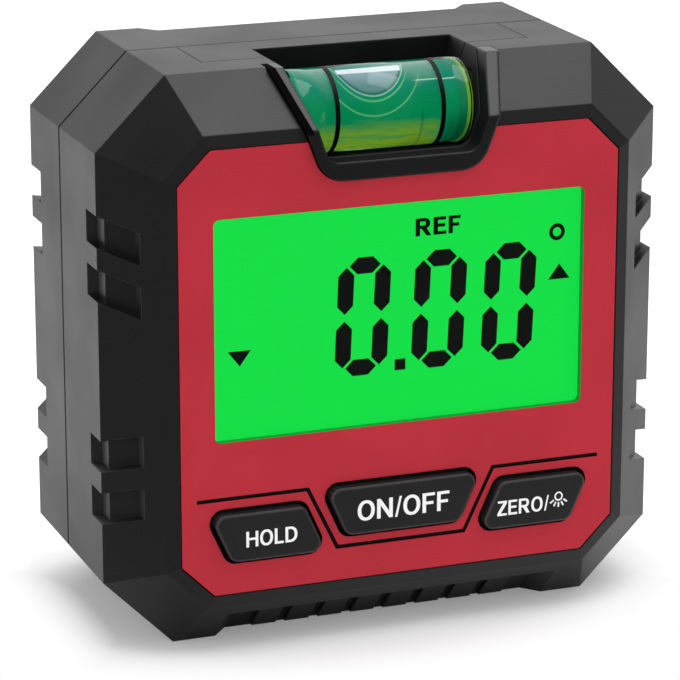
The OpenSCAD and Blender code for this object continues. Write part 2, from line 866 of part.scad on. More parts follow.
module face_plate() {
    color("#b8323f")
        difference() {
            slab(face_y, plate_back_y)
                polygon(case_outline(face_inset + fit_gap));
            slab(face_y - over, plate_back_y + over)
                view_outline(0);
            for (outline = [hold_outline, power_outline, zero_outline])
                slab(face_y - over, plate_back_y + over)
                    key_outline(outline, key_gap);
            slab(face_y - over, plate_back_y + over)
                polygon(bezel_outer(fit_gap));
            slab(face_y - over, face_y + line_depth)
                face_line();
        }
}

module display_window() {
    color("#d8efe0", 0.5)
        box([-open_half + fit_gap, plate_back_y, open_low + fit_gap],
            [open_half - fit_gap, plate_back_y + window_t, open_high - fit_gap]);
}

// Two glass sheets, the front one longer at the bottom to carry the contacts
module display_glass() {
    color("#1ae64c")
        union() {
            box([-open_half + 2 * fit_gap, glass_y, open_low + 2 * fit_gap],
                [open_half - 2 * fit_gap, glass_y + glass_t, open_high - 2 * fit_gap]);
            box([-open_half + 2 * fit_gap, glass_y + glass_t, open_low + ledge_h],
                [open_half - 2 * fit_gap, glass_back_y, open_high - 2 * fit_gap]);
        }
}

module light_guide() {
    color("#c8f8d4")
        box([-view_half, glass_back_y + fit_gap, open_low + ledge_h],
            [view_half, guide_back_y, open_high - 2 * fit_gap]);
}

module backlight_led() {
    color("#eef5c0")
        box([view_half + fit_gap, glass_back_y + 2 * fit_gap, view_mid - led_l / 2],
            [open_half - 2 * fit_gap, guide_back_y - fit_gap, view_mid + led_l / 2]);
}

// Frame that keeps glass and light guide square between front wall and board
module display_frame() {
    low = open_low + ledge_h - fit_gap;
    high = open_high - fit_gap;
    color("#e8e8e4")
        difference() {
            box([-open_half - frame_t, max(inner_y, glass_y + glass_t) + fit_gap, low - frame_t],
                [open_half + frame_t, board_y - fit_gap / 2, min(high + frame_t, cradle_z - fit_gap)]);
            box([-open_half + fit_gap, inner_y - over, low], [open_half - fit_gap, board_y + over, high]);
        }
}

module contact_strip() {
    low = open_low + 3 * fit_gap;
    color("#8a8f94")
        box([-view_half, glass_y + glass_t, low],
            [view_half, board_y, low + strip_t]);
}

module circuit_board() {
    color("#1f6b3a")
        difference() {
            intersection() {
                slab(board_y, board_back_y)
                    polygon(case_outline(board_inset));
                box([-case_w, board_y - over, 0], [case_w, board_back_y + over, board_top]);
            }
            for (p = screw_places)
                bar(p[0], p[1], screw_r + boss_t + 3 * fit_gap, board_y - over, board_back_y + over);
            for (p = board_places)
                bar(p[0], p[1], board_screw_r + fit_gap, board_y - over, board_back_y + over);
        }
}

module controller_chip() {
    color("#1c1c1e")
        box([-chip_side / 2, board_back_y, mid_z - chip_side / 2],
            [chip_side / 2, board_back_y + chip_t, mid_z + chip_side / 2]);
}

module tilt_sensor() {
    color("#3a3a40")
        translate([sensor_x, board_back_y, mid_z - sensor_side / 2])
            cube([sensor_side, sensor_t, sensor_side]);
}

// A key: round-edged face, a body through plate and wall, and a flange behind the wall
module key(outline) {
    front = face_y - key_out;
    color("#303032")
        union() {
            hull() {
                for (turn = [0, 30, 60])
                    slab(front + key_round * (1 - cos(turn)), front + key_round * (1 - cos(turn)) + join)
                        key_outline(outline, -key_round * (1 - sin(turn)));
                slab(front + key_round, face_y)
                    key_outline(outline, 0);
            }
            slab(face_y - join, key_flange_y + join)
                key_outline(outline, 0);
            slab(key_flange_y, key_back_y)
                key_outline(outline, key_flange);
        }
}

module switch_at(place) {
    color("#b9bcc0")
        difference() {
            box([place[0] - switch_side / 2, switch_y, place[1] - switch_side / 2],
                [place[0] + switch_side / 2, board_y, place[1] + switch_side / 2]);
            bar(place[0], place[1], plunger_r + fit_gap, switch_y - over, switch_y + switch_well);
        }
}

module plunger_at(place) {
    color("#202022")
        bar(place[0], place[1], plunger_r, plunger_y, plunger_y + plunger_l);
}

module hold_key() { key(hold_outline); }
module power_key() { key(power_outline); }
module zero_key() { key(zero_outline); }
module hold_switch() { switch_at(key_place(hold_outline)); }
module power_switch() { switch_at(key_place(power_outline)); }
module zero_switch() { switch_at(key_place(zero_outline)); }
module hold_plunger() { plunger_at(key_place(hold_outline)); }
module power_plunger() { plunger_at(key_place(power_outline)); }
module zero_plunger() { plunger_at(key_place(zero_outline)); }

// Trim round the vial window, folded over the front edge
module vial_bezel() {
    color("#333335")
        intersection() {
            slab(ridge_y - over, part_y)
                difference() {
                    polygon(bezel_outer(0));
                    polygon(bezel_opening());
                }
            across(case_w)
                polygon(bezel_band(0, bezel_d));
        }
}

// Tray under the vial, closed above by a plate that lies flush in the top face
module vial_cradle() {
    plate_low = cradle_top - cradle_flange;
    color("#242426")
        difference() {
            union() {
                across(2 * cradle_half)
                    polygon(cradle_side());
                box([-cradle_plate_half + fit_gap, plate_front_y + fit_gap, plate_low],
                    [cradle_plate_half - fit_gap, part_y - fit_gap, case_h]);
                box([-cradle_plate_half - cradle_flange, plate_front_y, plate_low],
                    [cradle_plate_half + cradle_flange, part_y - lip_h - 2 * fit_gap, cradle_top]);
            }
            box([-well_half, ridge_y - over, well_floor],
                [well_half, well_back_y, cradle_top - cradle_flange]);
            slab(ridge_y - over, well_back_y)
                intersection() {
                    polygon(bezel_opening());
                    translate([-case_w, well_floor])
                        square([2 * case_w, case_h]);
                }
            along_vial(2 * well_half, vial_r + fit_gap);
        }
}

// A round bar on the vial's axis
module along_vial(length, r) {
    translate([-length / 2, vial_y, vial_z])
        rotate([0, 90, 0])
            cylinder(r = r, h = length);
}

module on_vial_axis() {
    translate([0, vial_y, vial_z])
        rotate([0, 90, 0])
            children();
}

module vial_bore(gap) {
    on_vial_axis()
        rotate_extrude()
            polygon(bore_section(vial_l / 2 - vial_end - gap, gap));
}

module ring_groove(x, r_in, r_out, w) {
    translate([x, 0, 0])
        on_vial_axis()
            difference() {
                cylinder(r = r_out, h = w, center = true);
                cylinder(r = r_in, h = w + over, center = true);
            }
}

module vial_barrel() {
    color("#bfe8cf", 0.4)
        difference() {
            along_vial(vial_l, vial_r);
            vial_bore(0);
            translate([vial_l / 2 - vial_end, vial_y, vial_z])
                rotate([0, 90, 0])
                    translate([0, 0, -join])
                        cylinder(r = bore_end_r, h = vial_end + over);
            for (sx = [-1, 1])
                ring_groove(sx * ring_half, vial_r - ring_t, vial_r + over, ring_w);
        }
}

module vial_plug() {
    color("#3f8f5c")
        translate([vial_l / 2 - vial_end + fit_gap / 2, vial_y, vial_z])
            rotate([0, 90, 0])
                cylinder(r = bore_end_r - fit_gap / 2, h = vial_end - fit_gap / 2);
}

// Coloured liquid with the air bubble at its top
module vial_fluid() {
    lift = bore_mid_r - 2 * fit_gap - bubble_r;
    straight = bubble_l - 2 * bubble_r;
    color("#2fb45a", 0.7)
        difference() {
            vial_bore(fit_gap / 4);
            translate([bubble_x, 0, lift])
                union() {
                    along_vial(straight, bubble_r);
                    for (sx = [-0.5, 0.5])
                        translate([sx * straight, vial_y, vial_z])
                            sphere(r = bubble_r);
                }
        }
}

module vial_ring(side) {
    color("#101010")
        ring_groove(side * ring_half, vial_r - ring_t + fit_gap / 10, vial_r, ring_w - fit_gap / 5);
}

module vial_ring_left() { vial_ring(-1); }
module vial_ring_right() { vial_ring(1); }

module battery_door() {
    color("#2e2e30")
        difference() {
            union() {
                box([-door_reach + door_gap, back_y - door_t, door_low + door_gap],
                    [door_reach - door_gap, back_y, door_high - door_gap]);
                for (sx = [-1, 1])
                    box([sx * hook_place - hook_w / 2, back_y - door_t - hook_t, door_low - hook_l],
                        [sx * hook_place + hook_w / 2, back_y - door_t + join, door_low + 2 * hook_l]);
            }
            translate([0, back_y, door_high])
                rotate([0, 90, 0])
                    cylinder(r = latch_h / 2, h = latch_w, center = true);
        }
}

// A cell with its button towards +X, lying on the axis through the origin
module cell() {
    rotate([0, 90, 0]) {
        cylinder(r = cell_d / 2, h = cell_run - button_l);
        cylinder(r = button_r, h = cell_run);
    }
}

module upper_cell() {
    color("#c9a53c")
        translate([contact_x - spring_l - fit_gap / 2, cell_y, bay_mid + cell_pitch / 2])
            mirror([1, 0, 0])
                cell();
}

module lower_cell() {
    color("#c9a53c")
        translate([-contact_x + spring_l + fit_gap / 2, cell_y, bay_mid - cell_pitch / 2])
            cell();
}

// A square contact with a tail that reaches through the bay's wall
module contact_at(z) {
    color("#c8ccd0")
        union() {
            box([contact_x, cell_y - contact_w / 2, z - contact_w / 2],
                [contact_x + contact_t, cell_y + contact_w / 2, z + contact_w / 2]);
            box([contact_x, tail_end_y, z - tail_w / 2],
                [contact_x + contact_t, cell_y, z + tail_w / 2]);
        }
}

module upper_contact() { contact_at(bay_mid + cell_pitch / 2); }
module lower_contact() { contact_at(bay_mid - cell_pitch / 2); }

module bridge_contact() {
    half = cell_pitch / 2 + contact_w / 2;
    color("#c8ccd0")
        box([-contact_x - contact_t, cell_y - contact_w / 2, bay_mid - half],
            [-contact_x, cell_y + contact_w / 2, bay_mid + half]);
}

module contact_spring() {
    steps = round(spring_turns * 12);
    sides = 8;
    polyhedron(coil_points(spring_l - fit_gap, steps, sides), coil_faces(steps, sides));
}

module upper_spring() {
    color("#d4d8dc")
        translate([contact_x - fit_gap / 2, cell_y, bay_mid + cell_pitch / 2])
            rotate([0, 0, 180])
                contact_spring();
}

module lower_spring() {
    color("#d4d8dc")
        translate([-contact_x + fit_gap / 2, cell_y, bay_mid - cell_pitch / 2])
            contact_spring();
}

// Straight leads from the contact tails to the board
module battery_leads() {
    color("#a02020")
        for (side = [-1, 1])
            bar(contact_x + contact_t / 2, bay_mid + side * cell_pitch / 2, lead_r, board_back_y, tail_end_y);
}

module case_screws() {
    seat = back_y - screw_sink;
    color("#8d9196")
        for (p = screw_places)
            difference() {
                union() {
                    bar(p[0], p[1], screw_head_r, seat, seat + screw_head_h);
                    bar(p[0], p[1], screw_r, part_y - screw_reach, seat + join);
                }
                for (turn = [0, 90])
                    translate([p[0], seat + screw_head_h, p[1]])
                        rotate([0, turn, 0])
                            cube([screw_head_r * 1.3, screw_head_h, screw_r * 0.5], center = true);
            }
}

module board_screws() {
    color("#8d9196")
        for (p = board_places)
            union() {
                bar(p[0], p[1], board_head_r, board_back_y, board_back_y + board_head_h);
                bar(p[0], p[1], board_screw_r, inner_y + fit_gap, board_back_y + join);
            }
}

module magnet(x, y) {
    color("#b4b8bc")
        translate([x, y, fit_gap])
            cylinder(r = magnet_r, h = magnet_t);
}

module front_left_magnet() { magnet(-magnet_x, part_y - magnet_y); }
module front_right_magnet() { magnet(magnet_x, part_y - magnet_y); }
module rear_left_magnet() { magnet(-magnet_x, part_y + magnet_y); }
module rear_right_magnet() { magnet(magnet_x, part_y + magnet_y); }

front_shell();
rear_cover();
face_plate();
display_window();
display_glass();
light_guide();
backlight_led();
display_frame();
contact_strip();
circuit_board();
controller_chip();
tilt_sensor();
hold_key();
power_key();
zero_key();
hold_switch();
power_switch();
zero_switch();
hold_plunger();
power_plunger();
zero_plunger();
vial_bezel();
vial_cradle();
vial_barrel();
vial_plug();
vial_fluid();
vial_ring_left();
vial_ring_right();
battery_door();
upper_cell();
lower_cell();
upper_contact();
lower_contact();
bridge_contact();
upper_spring();
lower_spring();
battery_leads();
case_screws();
board_screws();
front_left_magnet();
front_right_magnet();
rear_left_magnet();
rear_right_magnet();
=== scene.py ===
"""Digital angle gauge: finishes, markings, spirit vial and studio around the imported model."""

import math
from functools import partialmethod

import bpy
import numpy as np
from mathutils.geometry import tessellate_polygon
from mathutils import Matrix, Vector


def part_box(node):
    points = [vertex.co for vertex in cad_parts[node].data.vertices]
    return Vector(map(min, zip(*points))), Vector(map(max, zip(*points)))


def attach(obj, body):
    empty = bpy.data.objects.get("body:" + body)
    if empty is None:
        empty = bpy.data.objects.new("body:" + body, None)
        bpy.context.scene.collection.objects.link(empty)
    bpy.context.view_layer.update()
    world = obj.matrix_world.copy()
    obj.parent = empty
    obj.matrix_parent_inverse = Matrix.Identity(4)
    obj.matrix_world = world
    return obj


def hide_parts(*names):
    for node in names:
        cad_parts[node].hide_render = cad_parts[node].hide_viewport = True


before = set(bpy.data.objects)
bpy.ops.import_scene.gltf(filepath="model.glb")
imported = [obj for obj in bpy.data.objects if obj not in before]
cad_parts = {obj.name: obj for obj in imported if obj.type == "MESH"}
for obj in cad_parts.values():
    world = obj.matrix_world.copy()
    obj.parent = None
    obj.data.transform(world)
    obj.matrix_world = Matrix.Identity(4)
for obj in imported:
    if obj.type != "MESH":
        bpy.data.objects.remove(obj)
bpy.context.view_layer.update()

bl_info = {
    "name": "Digital Angle Gauge",
    "version": (1, 0, 0),
    "blender": (4, 5, 0),
    "location": "View3D > Sidebar > Angle Gauge",
    "description": "Finishes, markings, spirit vial and studio of a digital angle gauge",
    "category": "Object",
}

MM = 0.001
BLACK, WHITE = (0, 0, 0, 1), (1, 1, 1, 1)
HIGHEST = 1000.0  # highest value of a plain number in the panel
ROUND_STEPS = 48  # points of a closed round in the lettering
LETTER_GAP, SLASH_GAP = 0.11, 0.07  # after a letter and after a slash, for a height of 1
GRAIN_RISE = 0.04  # height of the moulded grain
TONE_SCALE, PRINT_SCALE, SCRATCH_SCALE = 90.0, 2500.0, 2500.0  # how fine each noise is
EDGE_TURN = (0.995, 0.85)  # cosines of the normal's turn where a worn edge starts and is full


def linear(red, green, blue):
    """Linear colour of a screen colour given as 0 to 255: a power curve with a straight foot."""
    c = np.array([red, green, blue]) / 255
    return tuple(np.where(c <= 0.04045, c / 12.92, ((c + 0.055) / 1.055) ** 2.4))


def colour(label, text, default):
    """A colour that a user may change."""
    return bpy.props.FloatVectorProperty(
        name=label, description=text, subtype="COLOR", size=3, min=0, max=1, default=default)


def amount(label, text, default, low=0.0):
    """A plain number that a user may change; lengths are in millimetres."""
    return bpy.props.FloatProperty(
        name=label, description=text, min=low, max=HIGHEST, default=default)


def angle(label, text, default):
    """An angle that a user may change, with its default in degrees."""
    return bpy.props.FloatProperty(
        name=label, description=text, subtype="ANGLE", default=math.radians(default))


class GaugeFinish(bpy.types.PropertyGroup):
    """Colours of the gauge's surfaces."""
    case: colour("Case", "Moulded case", (0.011, 0.011, 0.0115))
    trim: colour("Trim", "Bezel and vial tray", (0.008, 0.008, 0.0085))
    plate: colour("Face plate", "Red face plate", linear(182, 41, 55))
    # the line's paint, also used as painted shade on the key holes' walls
    ink: colour("Line", "Paint in the face plate's line", (0.004, 0.004, 0.004))
    key: colour("Keys", "Keys", (0.017, 0.017, 0.0175))
    letter: colour("Lettering", "Words on the keys", (0.9, 0.9, 0.9))
    display: colour("Display", "Lit display", linear(22, 233, 76))
    mark: colour("Display marks", "Dark marks of the display", (0.006, 0.006, 0.006))
    # the top and foot colours of the liquid are painted light by height; the middle green is its
    # own colour
    liquid_high: colour("Vial liquid, top", "Liquid near the vial's top", linear(16, 136, 108))
    liquid_mid: colour("Vial liquid, middle", "Liquid half way down", linear(0, 138, 84))
    liquid_low: colour("Vial liquid, bottom", "Liquid near the vial's foot", linear(122, 164, 26))
    # the bubble is painted on the liquid
    bubble: colour("Bubble", "Middle of the bubble", linear(138, 166, 174))


class GaugeMarks(bpy.types.PropertyGroup):
    """Sizes of the display's marks, the lettering and the bubble, in millimetres."""
    digit_height: amount("Digit height", "Height of a display digit", 11.87)
    digit_width: amount("Digit width", "Width of a display digit", 5.44)
    segment: amount("Segment", "Width of a digit's segment", 1.64)
    lean: angle("Lean", "Lean of the digits", 2.6)
    print_depth: amount("Print", "Thickness of printed lettering", 0.012)
    stem: amount("Stems", "Width of a letter's stems for a height of 1", 0.175)
    bar: amount("Bars", "Width of a letter's bars for a height of 1", 0.15)
    bold: amount("Bold", "How much bolder the display's letters are", 1.24)
    bubble_length: amount("Bubble length", "Length of the bubble", 6.35)
    bubble_place: amount("Bubble place", "Middle of the bubble along the vial", -0.88, -10)
    bubble_lean: amount("Bubble lean", "How far it leans to the left towards the front", 0.5)
    bubble_tilt: angle("Bubble tilt", "How far its right end turns towards the front", 2.5)
    bubble_spread: angle("Bubble spread", "Half angle that it takes round the bore", 62)


class GaugeStage(bpy.types.PropertyGroup):
    """Camera and light."""
    lens: amount("Lens", "Focal length on a 36 mm sensor, in millimetres", 183.36)
    azimuth: angle("Azimuth", "Camera's turn to the right of the front", -20.68)
    elevation: angle("Elevation", "Camera's height above the horizon", 16.49)
    distance: amount("Distance", "From the camera to the middle of the case", 350.63)
    slide: amount("Slide", "Middle of the case to the right of the view's middle", 0.38, -100)
    rise: amount("Rise", "Middle of the case above the view's middle", 2.09, -100)
    ambient: amount("Ambient", "Light of the surroundings", 0.45)


def box(name):
    """Lowest and highest corners of a CAD node at rest, in millimetres."""
    return np.array(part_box(name)) / MM


def metres(*lengths):
    """Lengths in millimetres as metres."""
    return [length * MM for length in lengths]


def placed(name, data):
    """A new object in the scene."""
    piece = bpy.data.objects.new(name, data)
    bpy.context.scene.collection.objects.link(piece)
    return piece


def mesh_object(name, points, faces, smooth):
    """A mesh object from points in millimetres and faces."""
    mesh = bpy.data.meshes.new(name)
    mesh.from_pydata((np.asarray(points) * MM).tolist(), [], [list(map(int, f)) for f in faces])
    mesh.polygons.foreach_set("use_smooth", np.full(len(mesh.polygons), smooth))
    mesh.update()
    return placed(name, mesh)


def surface(name, points, faces, body, slot, smooth=True):
    """A mesh object that rides on a body."""
    piece = mesh_object(name, points, faces, smooth)
    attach(piece, body)
    return piece


def grid_faces(rows, columns, rows_closed, columns_closed):
    """Four-sided faces of a grid of points, joined end to end where closed, as one array."""
    i = np.arange(rows if rows_closed else rows - 1)
    k = np.arange(columns if columns_closed else columns - 1)
    i, k = np.meshgrid(i, k, indexing="ij")
    i2, k2 = (i + 1) % rows, (k + 1) % columns
    quads = [i * columns + k, i * columns + k2, i2 * columns + k2, i2 * columns + k]
    return np.stack(quads, -1).reshape(-1, 4)


def turned(outline, way):
    """An outline of (x, z) points, anticlockwise for way 1 and clockwise for -1.

    The sign of the outline's area says which way it runs."""
    outline = np.asarray(outline, float)
    after = np.roll(outline, -1, 0)
    area = np.sum(outline[:, 0] * after[:, 1] - after[:, 0] * outline[:, 1])
    return outline if area * way > 0 else outline[::-1]


def plate(outlines, front, back):
    """A flat plate facing -Y: outlines of (x, z) points, the first outside and the rest holes.

    Both faces are cut into triangles between the outlines, and each outline has a wall from
    front to back."""
    loops = [turned(line, -1 if k else 1) for k, line in enumerate(outlines)]
    flat = np.vstack(loops)
    n = len(flat)
    cut = np.array(tessellate_polygon([[(*p, 0.0) for p in line] for line in loops]))
    a, b, c = flat[cut[:, 0]], flat[cut[:, 1]], flat[cut[:, 2]]
    ab, ac = b - a, c - a
    area = ab[:, 0] * ac[:, 1] - ab[:, 1] * ac[:, 0]
    cut = np.where(area[:, None] > 0, cut, cut[:, ::-1])
    starts = np.cumsum([0] + [len(line) for line in loops[:-1]])
    walls = []
    for start, line in zip(starts, loops):
        i = start + np.arange(len(line))
        j = np.roll(i, -1)
        walls.extend(np.stack([i, i + n, j + n, j], -1))
    sides = [np.stack([flat[:, 0], np.full(n, y), flat[:, 1]], -1) for y in (front, back)]
    return np.vstack(sides), [*cut, *(cut[:, ::-1] + n), *walls]


def join(parts):
    """Several (points, faces) pairs as one."""
    start, points, faces = 0, [], []
    for p, f in parts:
        points.append(p)
        faces.extend([np.asarray(face) + start for face in f])
        start += len(p)
    return np.vstack(points), faces


def bow(x, z, half_w, half_h, start, end, steps=20, square=2.2):
    """Part of a squarish round: powers of the cosine and sine about (x, z), between two angles."""
    t = np.radians(np.linspace(start, end, steps))
    c, s = np.cos(t), np.sin(t)
    power = 2 / square
    return np.stack([
        x + half_w * np.sign(c) * np.abs(c) ** power,
        z + half_h * np.sign(s) * np.abs(s) ** power], -1)


def whole(x, z, half_w, half_h, square=2.0):
    """A closed squarish round."""
    return bow(x, z, half_w, half_h, 0, 360 - 360 / ROUND_STEPS, ROUND_STEPS, square)


def ribbon_outline(route, width):
    """Outline of a straight or bent line: each point moved to both sides along its mitre."""
    step = np.diff(route, axis=0)
    step = step / np.linalg.norm(step, axis=1, keepdims=True)
    before, after = np.vstack([step[:1], step]), np.vstack([step, step[-1:]])
    mid = before + after
    mid = mid / np.linalg.norm(mid, axis=1, keepdims=True)
    side = np.stack([-mid[:, 1], mid[:, 0]], -1) * width / 2
    side = side / np.sum(mid * after, axis=1, keepdims=True)
    return np.vstack([route - side, (route + side)[::-1]])


def capitals(t, b):
    """Bold capitals of height 1 with stems t and bars b wide: each one's width and outlines."""
    w, middle = 0.76, 0.52  # width of the wide letters, and height of a middle bar
    low, high, top = middle - b / 2, middle + b / 2, 1 - b
    f_low, f_high = low - 0.03, high - 0.03  # the middle bar of F hangs lower
    bowl_low, bowl_mid = 0.40, 0.70  # foot and middle of the bowl of R
    return {
        "H": (w, [[
            (0, 0), (t, 0), (t, low), (w - t, low), (w - t, 0), (w, 0),
            (w, 1), (w - t, 1), (w - t, high), (t, high), (t, 1), (0, 1)]]),
        "L": (0.57, [[(0, 0), (0.57, 0), (0.57, b), (t, b), (t, 1), (0, 1)]]),
        "N": (w, [[
            (0, 0), (t, 0), (t, 0.66), (w - t, 0), (w, 0),
            (w, 1), (w - t, 1), (w - t, 0.34), (t, 1), (0, 1)]]),
        "F": (0.6, [[
            (0, 0), (t, 0), (t, f_low), (0.53, f_low), (0.53, f_high), (t, f_high),
            (t, top), (0.6, top), (0.6, 1), (0, 1)]]),
        "E": (0.64, [[
            (0, 0), (0.64, 0), (0.64, b), (t, b), (t, low), (0.58, low), (0.58, high), (t, high),
            (t, top), (0.62, top), (0.62, 1), (0, 1)]]),
        "Z": (0.67, [[
            (0, 0), (0.67, 0), (0.67, b), (0.24, b), (0.67, top - 0.02), (0.67, 1),
            (0.03, 1), (0.03, top), (0.43, top), (0, b + 0.02)]]),
        "O": (0.82, [
            whole(0.41, 0.5, 0.41, 0.515, 2.2), whole(0.41, 0.5, 0.41 - t, 0.515 - b, 2.1)]),
        "D": (w, [
            np.vstack([[(0, 0)], bow(0.32, 0.5, 0.44, 0.5, -90, 90), [(0, 1)]]),
            np.vstack([[(t, b)], bow(0.30, 0.5, 0.46 - t, 0.5 - b, -90, 90), [(t, top)]])]),
        "R": (0.78, [
            np.vstack([
                [(0, 0), (t, 0), (t, bowl_low), (0.29, bowl_low), (0.55, 0), (0.78, 0)],
                bow(0.42, bowl_mid, 0.3, 0.3, -66, 90), [(0, 1)]]),
            np.vstack([
                [(t, bowl_low + b)], bow(0.41, bowl_mid, 0.31 - t, 0.3 - b, -90, 90),
                [(t, top)]])]),
        "/": (0.33, [[(0, -0.02), (0.11, -0.02), (0.33, 1.02), (0.22, 1.02)]]),
    }


def word(text, letters, left, right, low, high, front, back):
    """Capitals side by side as plates, stretched to fill the width and the height."""
    place, shapes = 0, []
    for letter in text:
        width, outlines = letters[letter]
        shapes.append([np.asarray(line) + [place, 0] for line in outlines])
        place += width + (SLASH_GAP if "/" in letter else LETTER_GAP)
    stretch = np.array([(right - left) / shapes[-1][0][:, 0].max(), high - low])
    return join([
        plate([line * stretch + [left, low] for line in shape], front, back) for shape in shapes])


class Tree:
    """Adds nodes to a node tree and joins them."""

    def __init__(self, tree):
        self.tree = tree

    def add(self, kind, **values):
        """A node with its settings; a value named after an input is set on it or linked to it."""
        node = self.tree.nodes.new(kind)
        for key, value in values.items():
            if hasattr(node, key):
                setattr(node, key, value)
            else:
                self.set(node, key.replace("_", " "), value)
        return node

    def set(self, node, socket, value):
        """Sets an input, by its name in any case or its number, or links it to another socket."""
        if isinstance(socket, int):
            target = node.inputs[socket]
        else:
            target = next(s for s in node.inputs if s.name.lower() == socket.lower())
        if isinstance(value, bpy.types.NodeSocket):
            self.tree.links.new(value, target)
        else:
            target.default_value = value

    def put(self, node, **values):
        """Sets or links inputs by their names."""
        for key, value in values.items():
            self.set(node, key.replace("_", " "), value)

    def filled(self, kind, sockets, values, **settings):
        """The outputs of a node with its settings and values on its numbered inputs."""
        node = self.add(kind, **settings)
        for socket, value in zip(sockets, values):
            self.set(node, socket, value)
        return node.outputs

    def math(self, operation, first, second=0.0):
        """The result of a math node; each name below stands for one operation."""
        return self.filled("ShaderNodeMath", (0, 1), (first, second), operation=operation)[0]

    plus = partialmethod(math, "ADD")
    minus = partialmethod(math, "SUBTRACT")
    times = partialmethod(math, "MULTIPLY")
    larger = partialmethod(math, "MAXIMUM")
    size = partialmethod(math, "ABSOLUTE")
    above = partialmethod(math, "GREATER_THAN")
    below = partialmethod(math, "LESS_THAN")

    def mix(self, *values):
        """A colour between two, with the factor first."""
        return self.filled("ShaderNodeMix", (0, 6, 7), values, data_type="RGBA")[2]

    def blend(self, *values):
        """A number between two, with the factor first."""
        return self.filled("ShaderNodeMix", (0, 2, 3), values)[0]

    def mix_shaders(self, *values):
        """A shader between two, with the factor first."""
        return self.filled("ShaderNodeMixShader", (0, 1, 2), values)[0]

    def span(self, value, low, high, to_low=0.0, to_high=1.0):
        """A value carried from one range to another, smoothly and held at the ends."""
        values = value, low, high, to_low, to_high
        return self.filled(
            "ShaderNodeMapRange", range(5), values, interpolation_type="SMOOTHSTEP")[0]

    def band(self, value, middle, half, soft):
        """1 within half of the middle, falling to 0 over the soft width."""
        away = self.size(self.minus(value, middle))
        return self.span(away, half, half + soft, 1.0, 0.0)

    def spot(self):
        """A point on the object."""
        return self.add("ShaderNodeTexCoord").outputs["Object"]

    def split(self, vector):
        """X, Y and Z of a vector."""
        return self.add("ShaderNodeSeparateXYZ", Vector=vector).outputs[:3]

    def place(self):
        """X, Y and Z of a point on the object."""
        return self.split(self.spot())

    def drawn(self, vector, scale):
        """A vector drawn out or squeezed along each axis."""
        return self.add("ShaderNodeMapping", Vector=vector, Scale=scale).outputs[0]

    def noise(self, vector, scale, **values):
        """A noise from 0 to 1."""
        return self.add("ShaderNodeTexNoise", Vector=vector, Scale=scale, **values).outputs[0]


def solid(c, level=1.0):
    """A colour at a level, with full alpha."""
    return (*np.minimum(np.array(c) * level, 1), 1.0)


def shared_group(name, inputs, **outputs):
    """An empty shader group with number inputs and named outputs, and its two end nodes."""
    group = bpy.data.node_groups.new(name, "ShaderNodeTree")
    new = group.interface.new_socket
    for label, default in inputs.items():
        new(label, in_out="INPUT", socket_type="NodeSocketFloat").default_value = default
    for label, kind in outputs.items():
        new(label, in_out="OUTPUT", socket_type="NodeSocket" + kind)
    tree = Tree(group)
    return tree, tree.add("NodeGroupInput"), tree.add("NodeGroupOutput")


def grain_group():
    """Fine moulded grain on softened edges: a bump from small noise over a rounded normal.

    It puts out the normal, a slow tone from 0 to 1 over the surface, and a mask of the edges."""
    tree, given, out = shared_group(
        "Moulded grain", {"Scale": 5000.0, "Depth": 0.2, "Edge": 0.25 * MM},
        Normal="Vector", Tone="Float", Edges="Float")
    spot, edge = tree.spot(), given.outputs["Edge"]
    rounded = tree.add("ShaderNodeBevel", samples=6, Radius=edge)
    fine = tree.noise(spot, given.outputs["Scale"], Detail=3.0, Roughness=0.6)
    bump = tree.add(
        "ShaderNodeBump", Strength=given.outputs["Depth"], Distance=GRAIN_RISE * MM,
        Height=fine, Normal=rounded.outputs[0])
    tone = tree.noise(spot, TONE_SCALE, Detail=4.0)
    wide = tree.add("ShaderNodeBevel", samples=4, Radius=edge)
    plain = tree.add("ShaderNodeNewGeometry")
    normals = wide.outputs[0], plain.outputs["Normal"]
    turn = tree.filled("ShaderNodeVectorMath", (0, 1), normals, operation="DOT_PRODUCT")["Value"]
    tree.put(out, Normal=bump.outputs[0], Tone=tone, Edges=tree.span(turn, *EDGE_TURN))


def bubble_group(axis):
    """Where a point lies about the bubble, with its turn round the vial from the top to the front.

    The reach is 1 on the bubble's edge: the root of the squares of the distance along the vial
    over half the bubble's length, and of the turn over its spread. The middle moves with the
    sine of the turn, by the lean."""
    sizes = bpy.context.scene.gauge_marks
    tree, _, out = shared_group(
        "Bubble place", {}, Turn="Float", Round="Float", Reach="Float", Along="Float")
    x, y, z = tree.place()
    depth, height = tree.minus(axis[1] * MM, y), tree.minus(z, axis[2] * MM)
    plain = tree.math("ARCTAN2", depth, height)
    lean = tree.times(tree.math("SINE", plain), sizes.bubble_lean * MM)
    from_middle = tree.plus(tree.minus(x, sizes.bubble_place * MM), lean)
    along = tree.math("DIVIDE", from_middle, sizes.bubble_length / 2 * MM)
    turn = tree.minus(plain, tree.times(along, sizes.bubble_tilt))
    spread = tree.math("DIVIDE", turn, sizes.bubble_spread)
    squares = tree.plus(tree.times(along, along), tree.times(spread, spread))
    reach = tree.math("SQRT", squares)
    tree.put(out, Turn=turn, Round=plain, Reach=reach, Along=tree.size(along))


def material(name, **values):
    """A material with its Principled shader's constant inputs set, its tree and its shader."""
    made = bpy.data.materials.new(name)
    made.use_nodes = True
    shader = made.node_tree.nodes["Principled BSDF"]
    tree = Tree(made.node_tree)
    tree.put(shader, **values)
    return made, tree, shader


def group_node(tree, name, **values):
    """A placed shared group with its own values."""
    node = tree.add("ShaderNodeGroup", node_tree=bpy.data.node_groups[name])
    tree.put(node, **values)
    return node


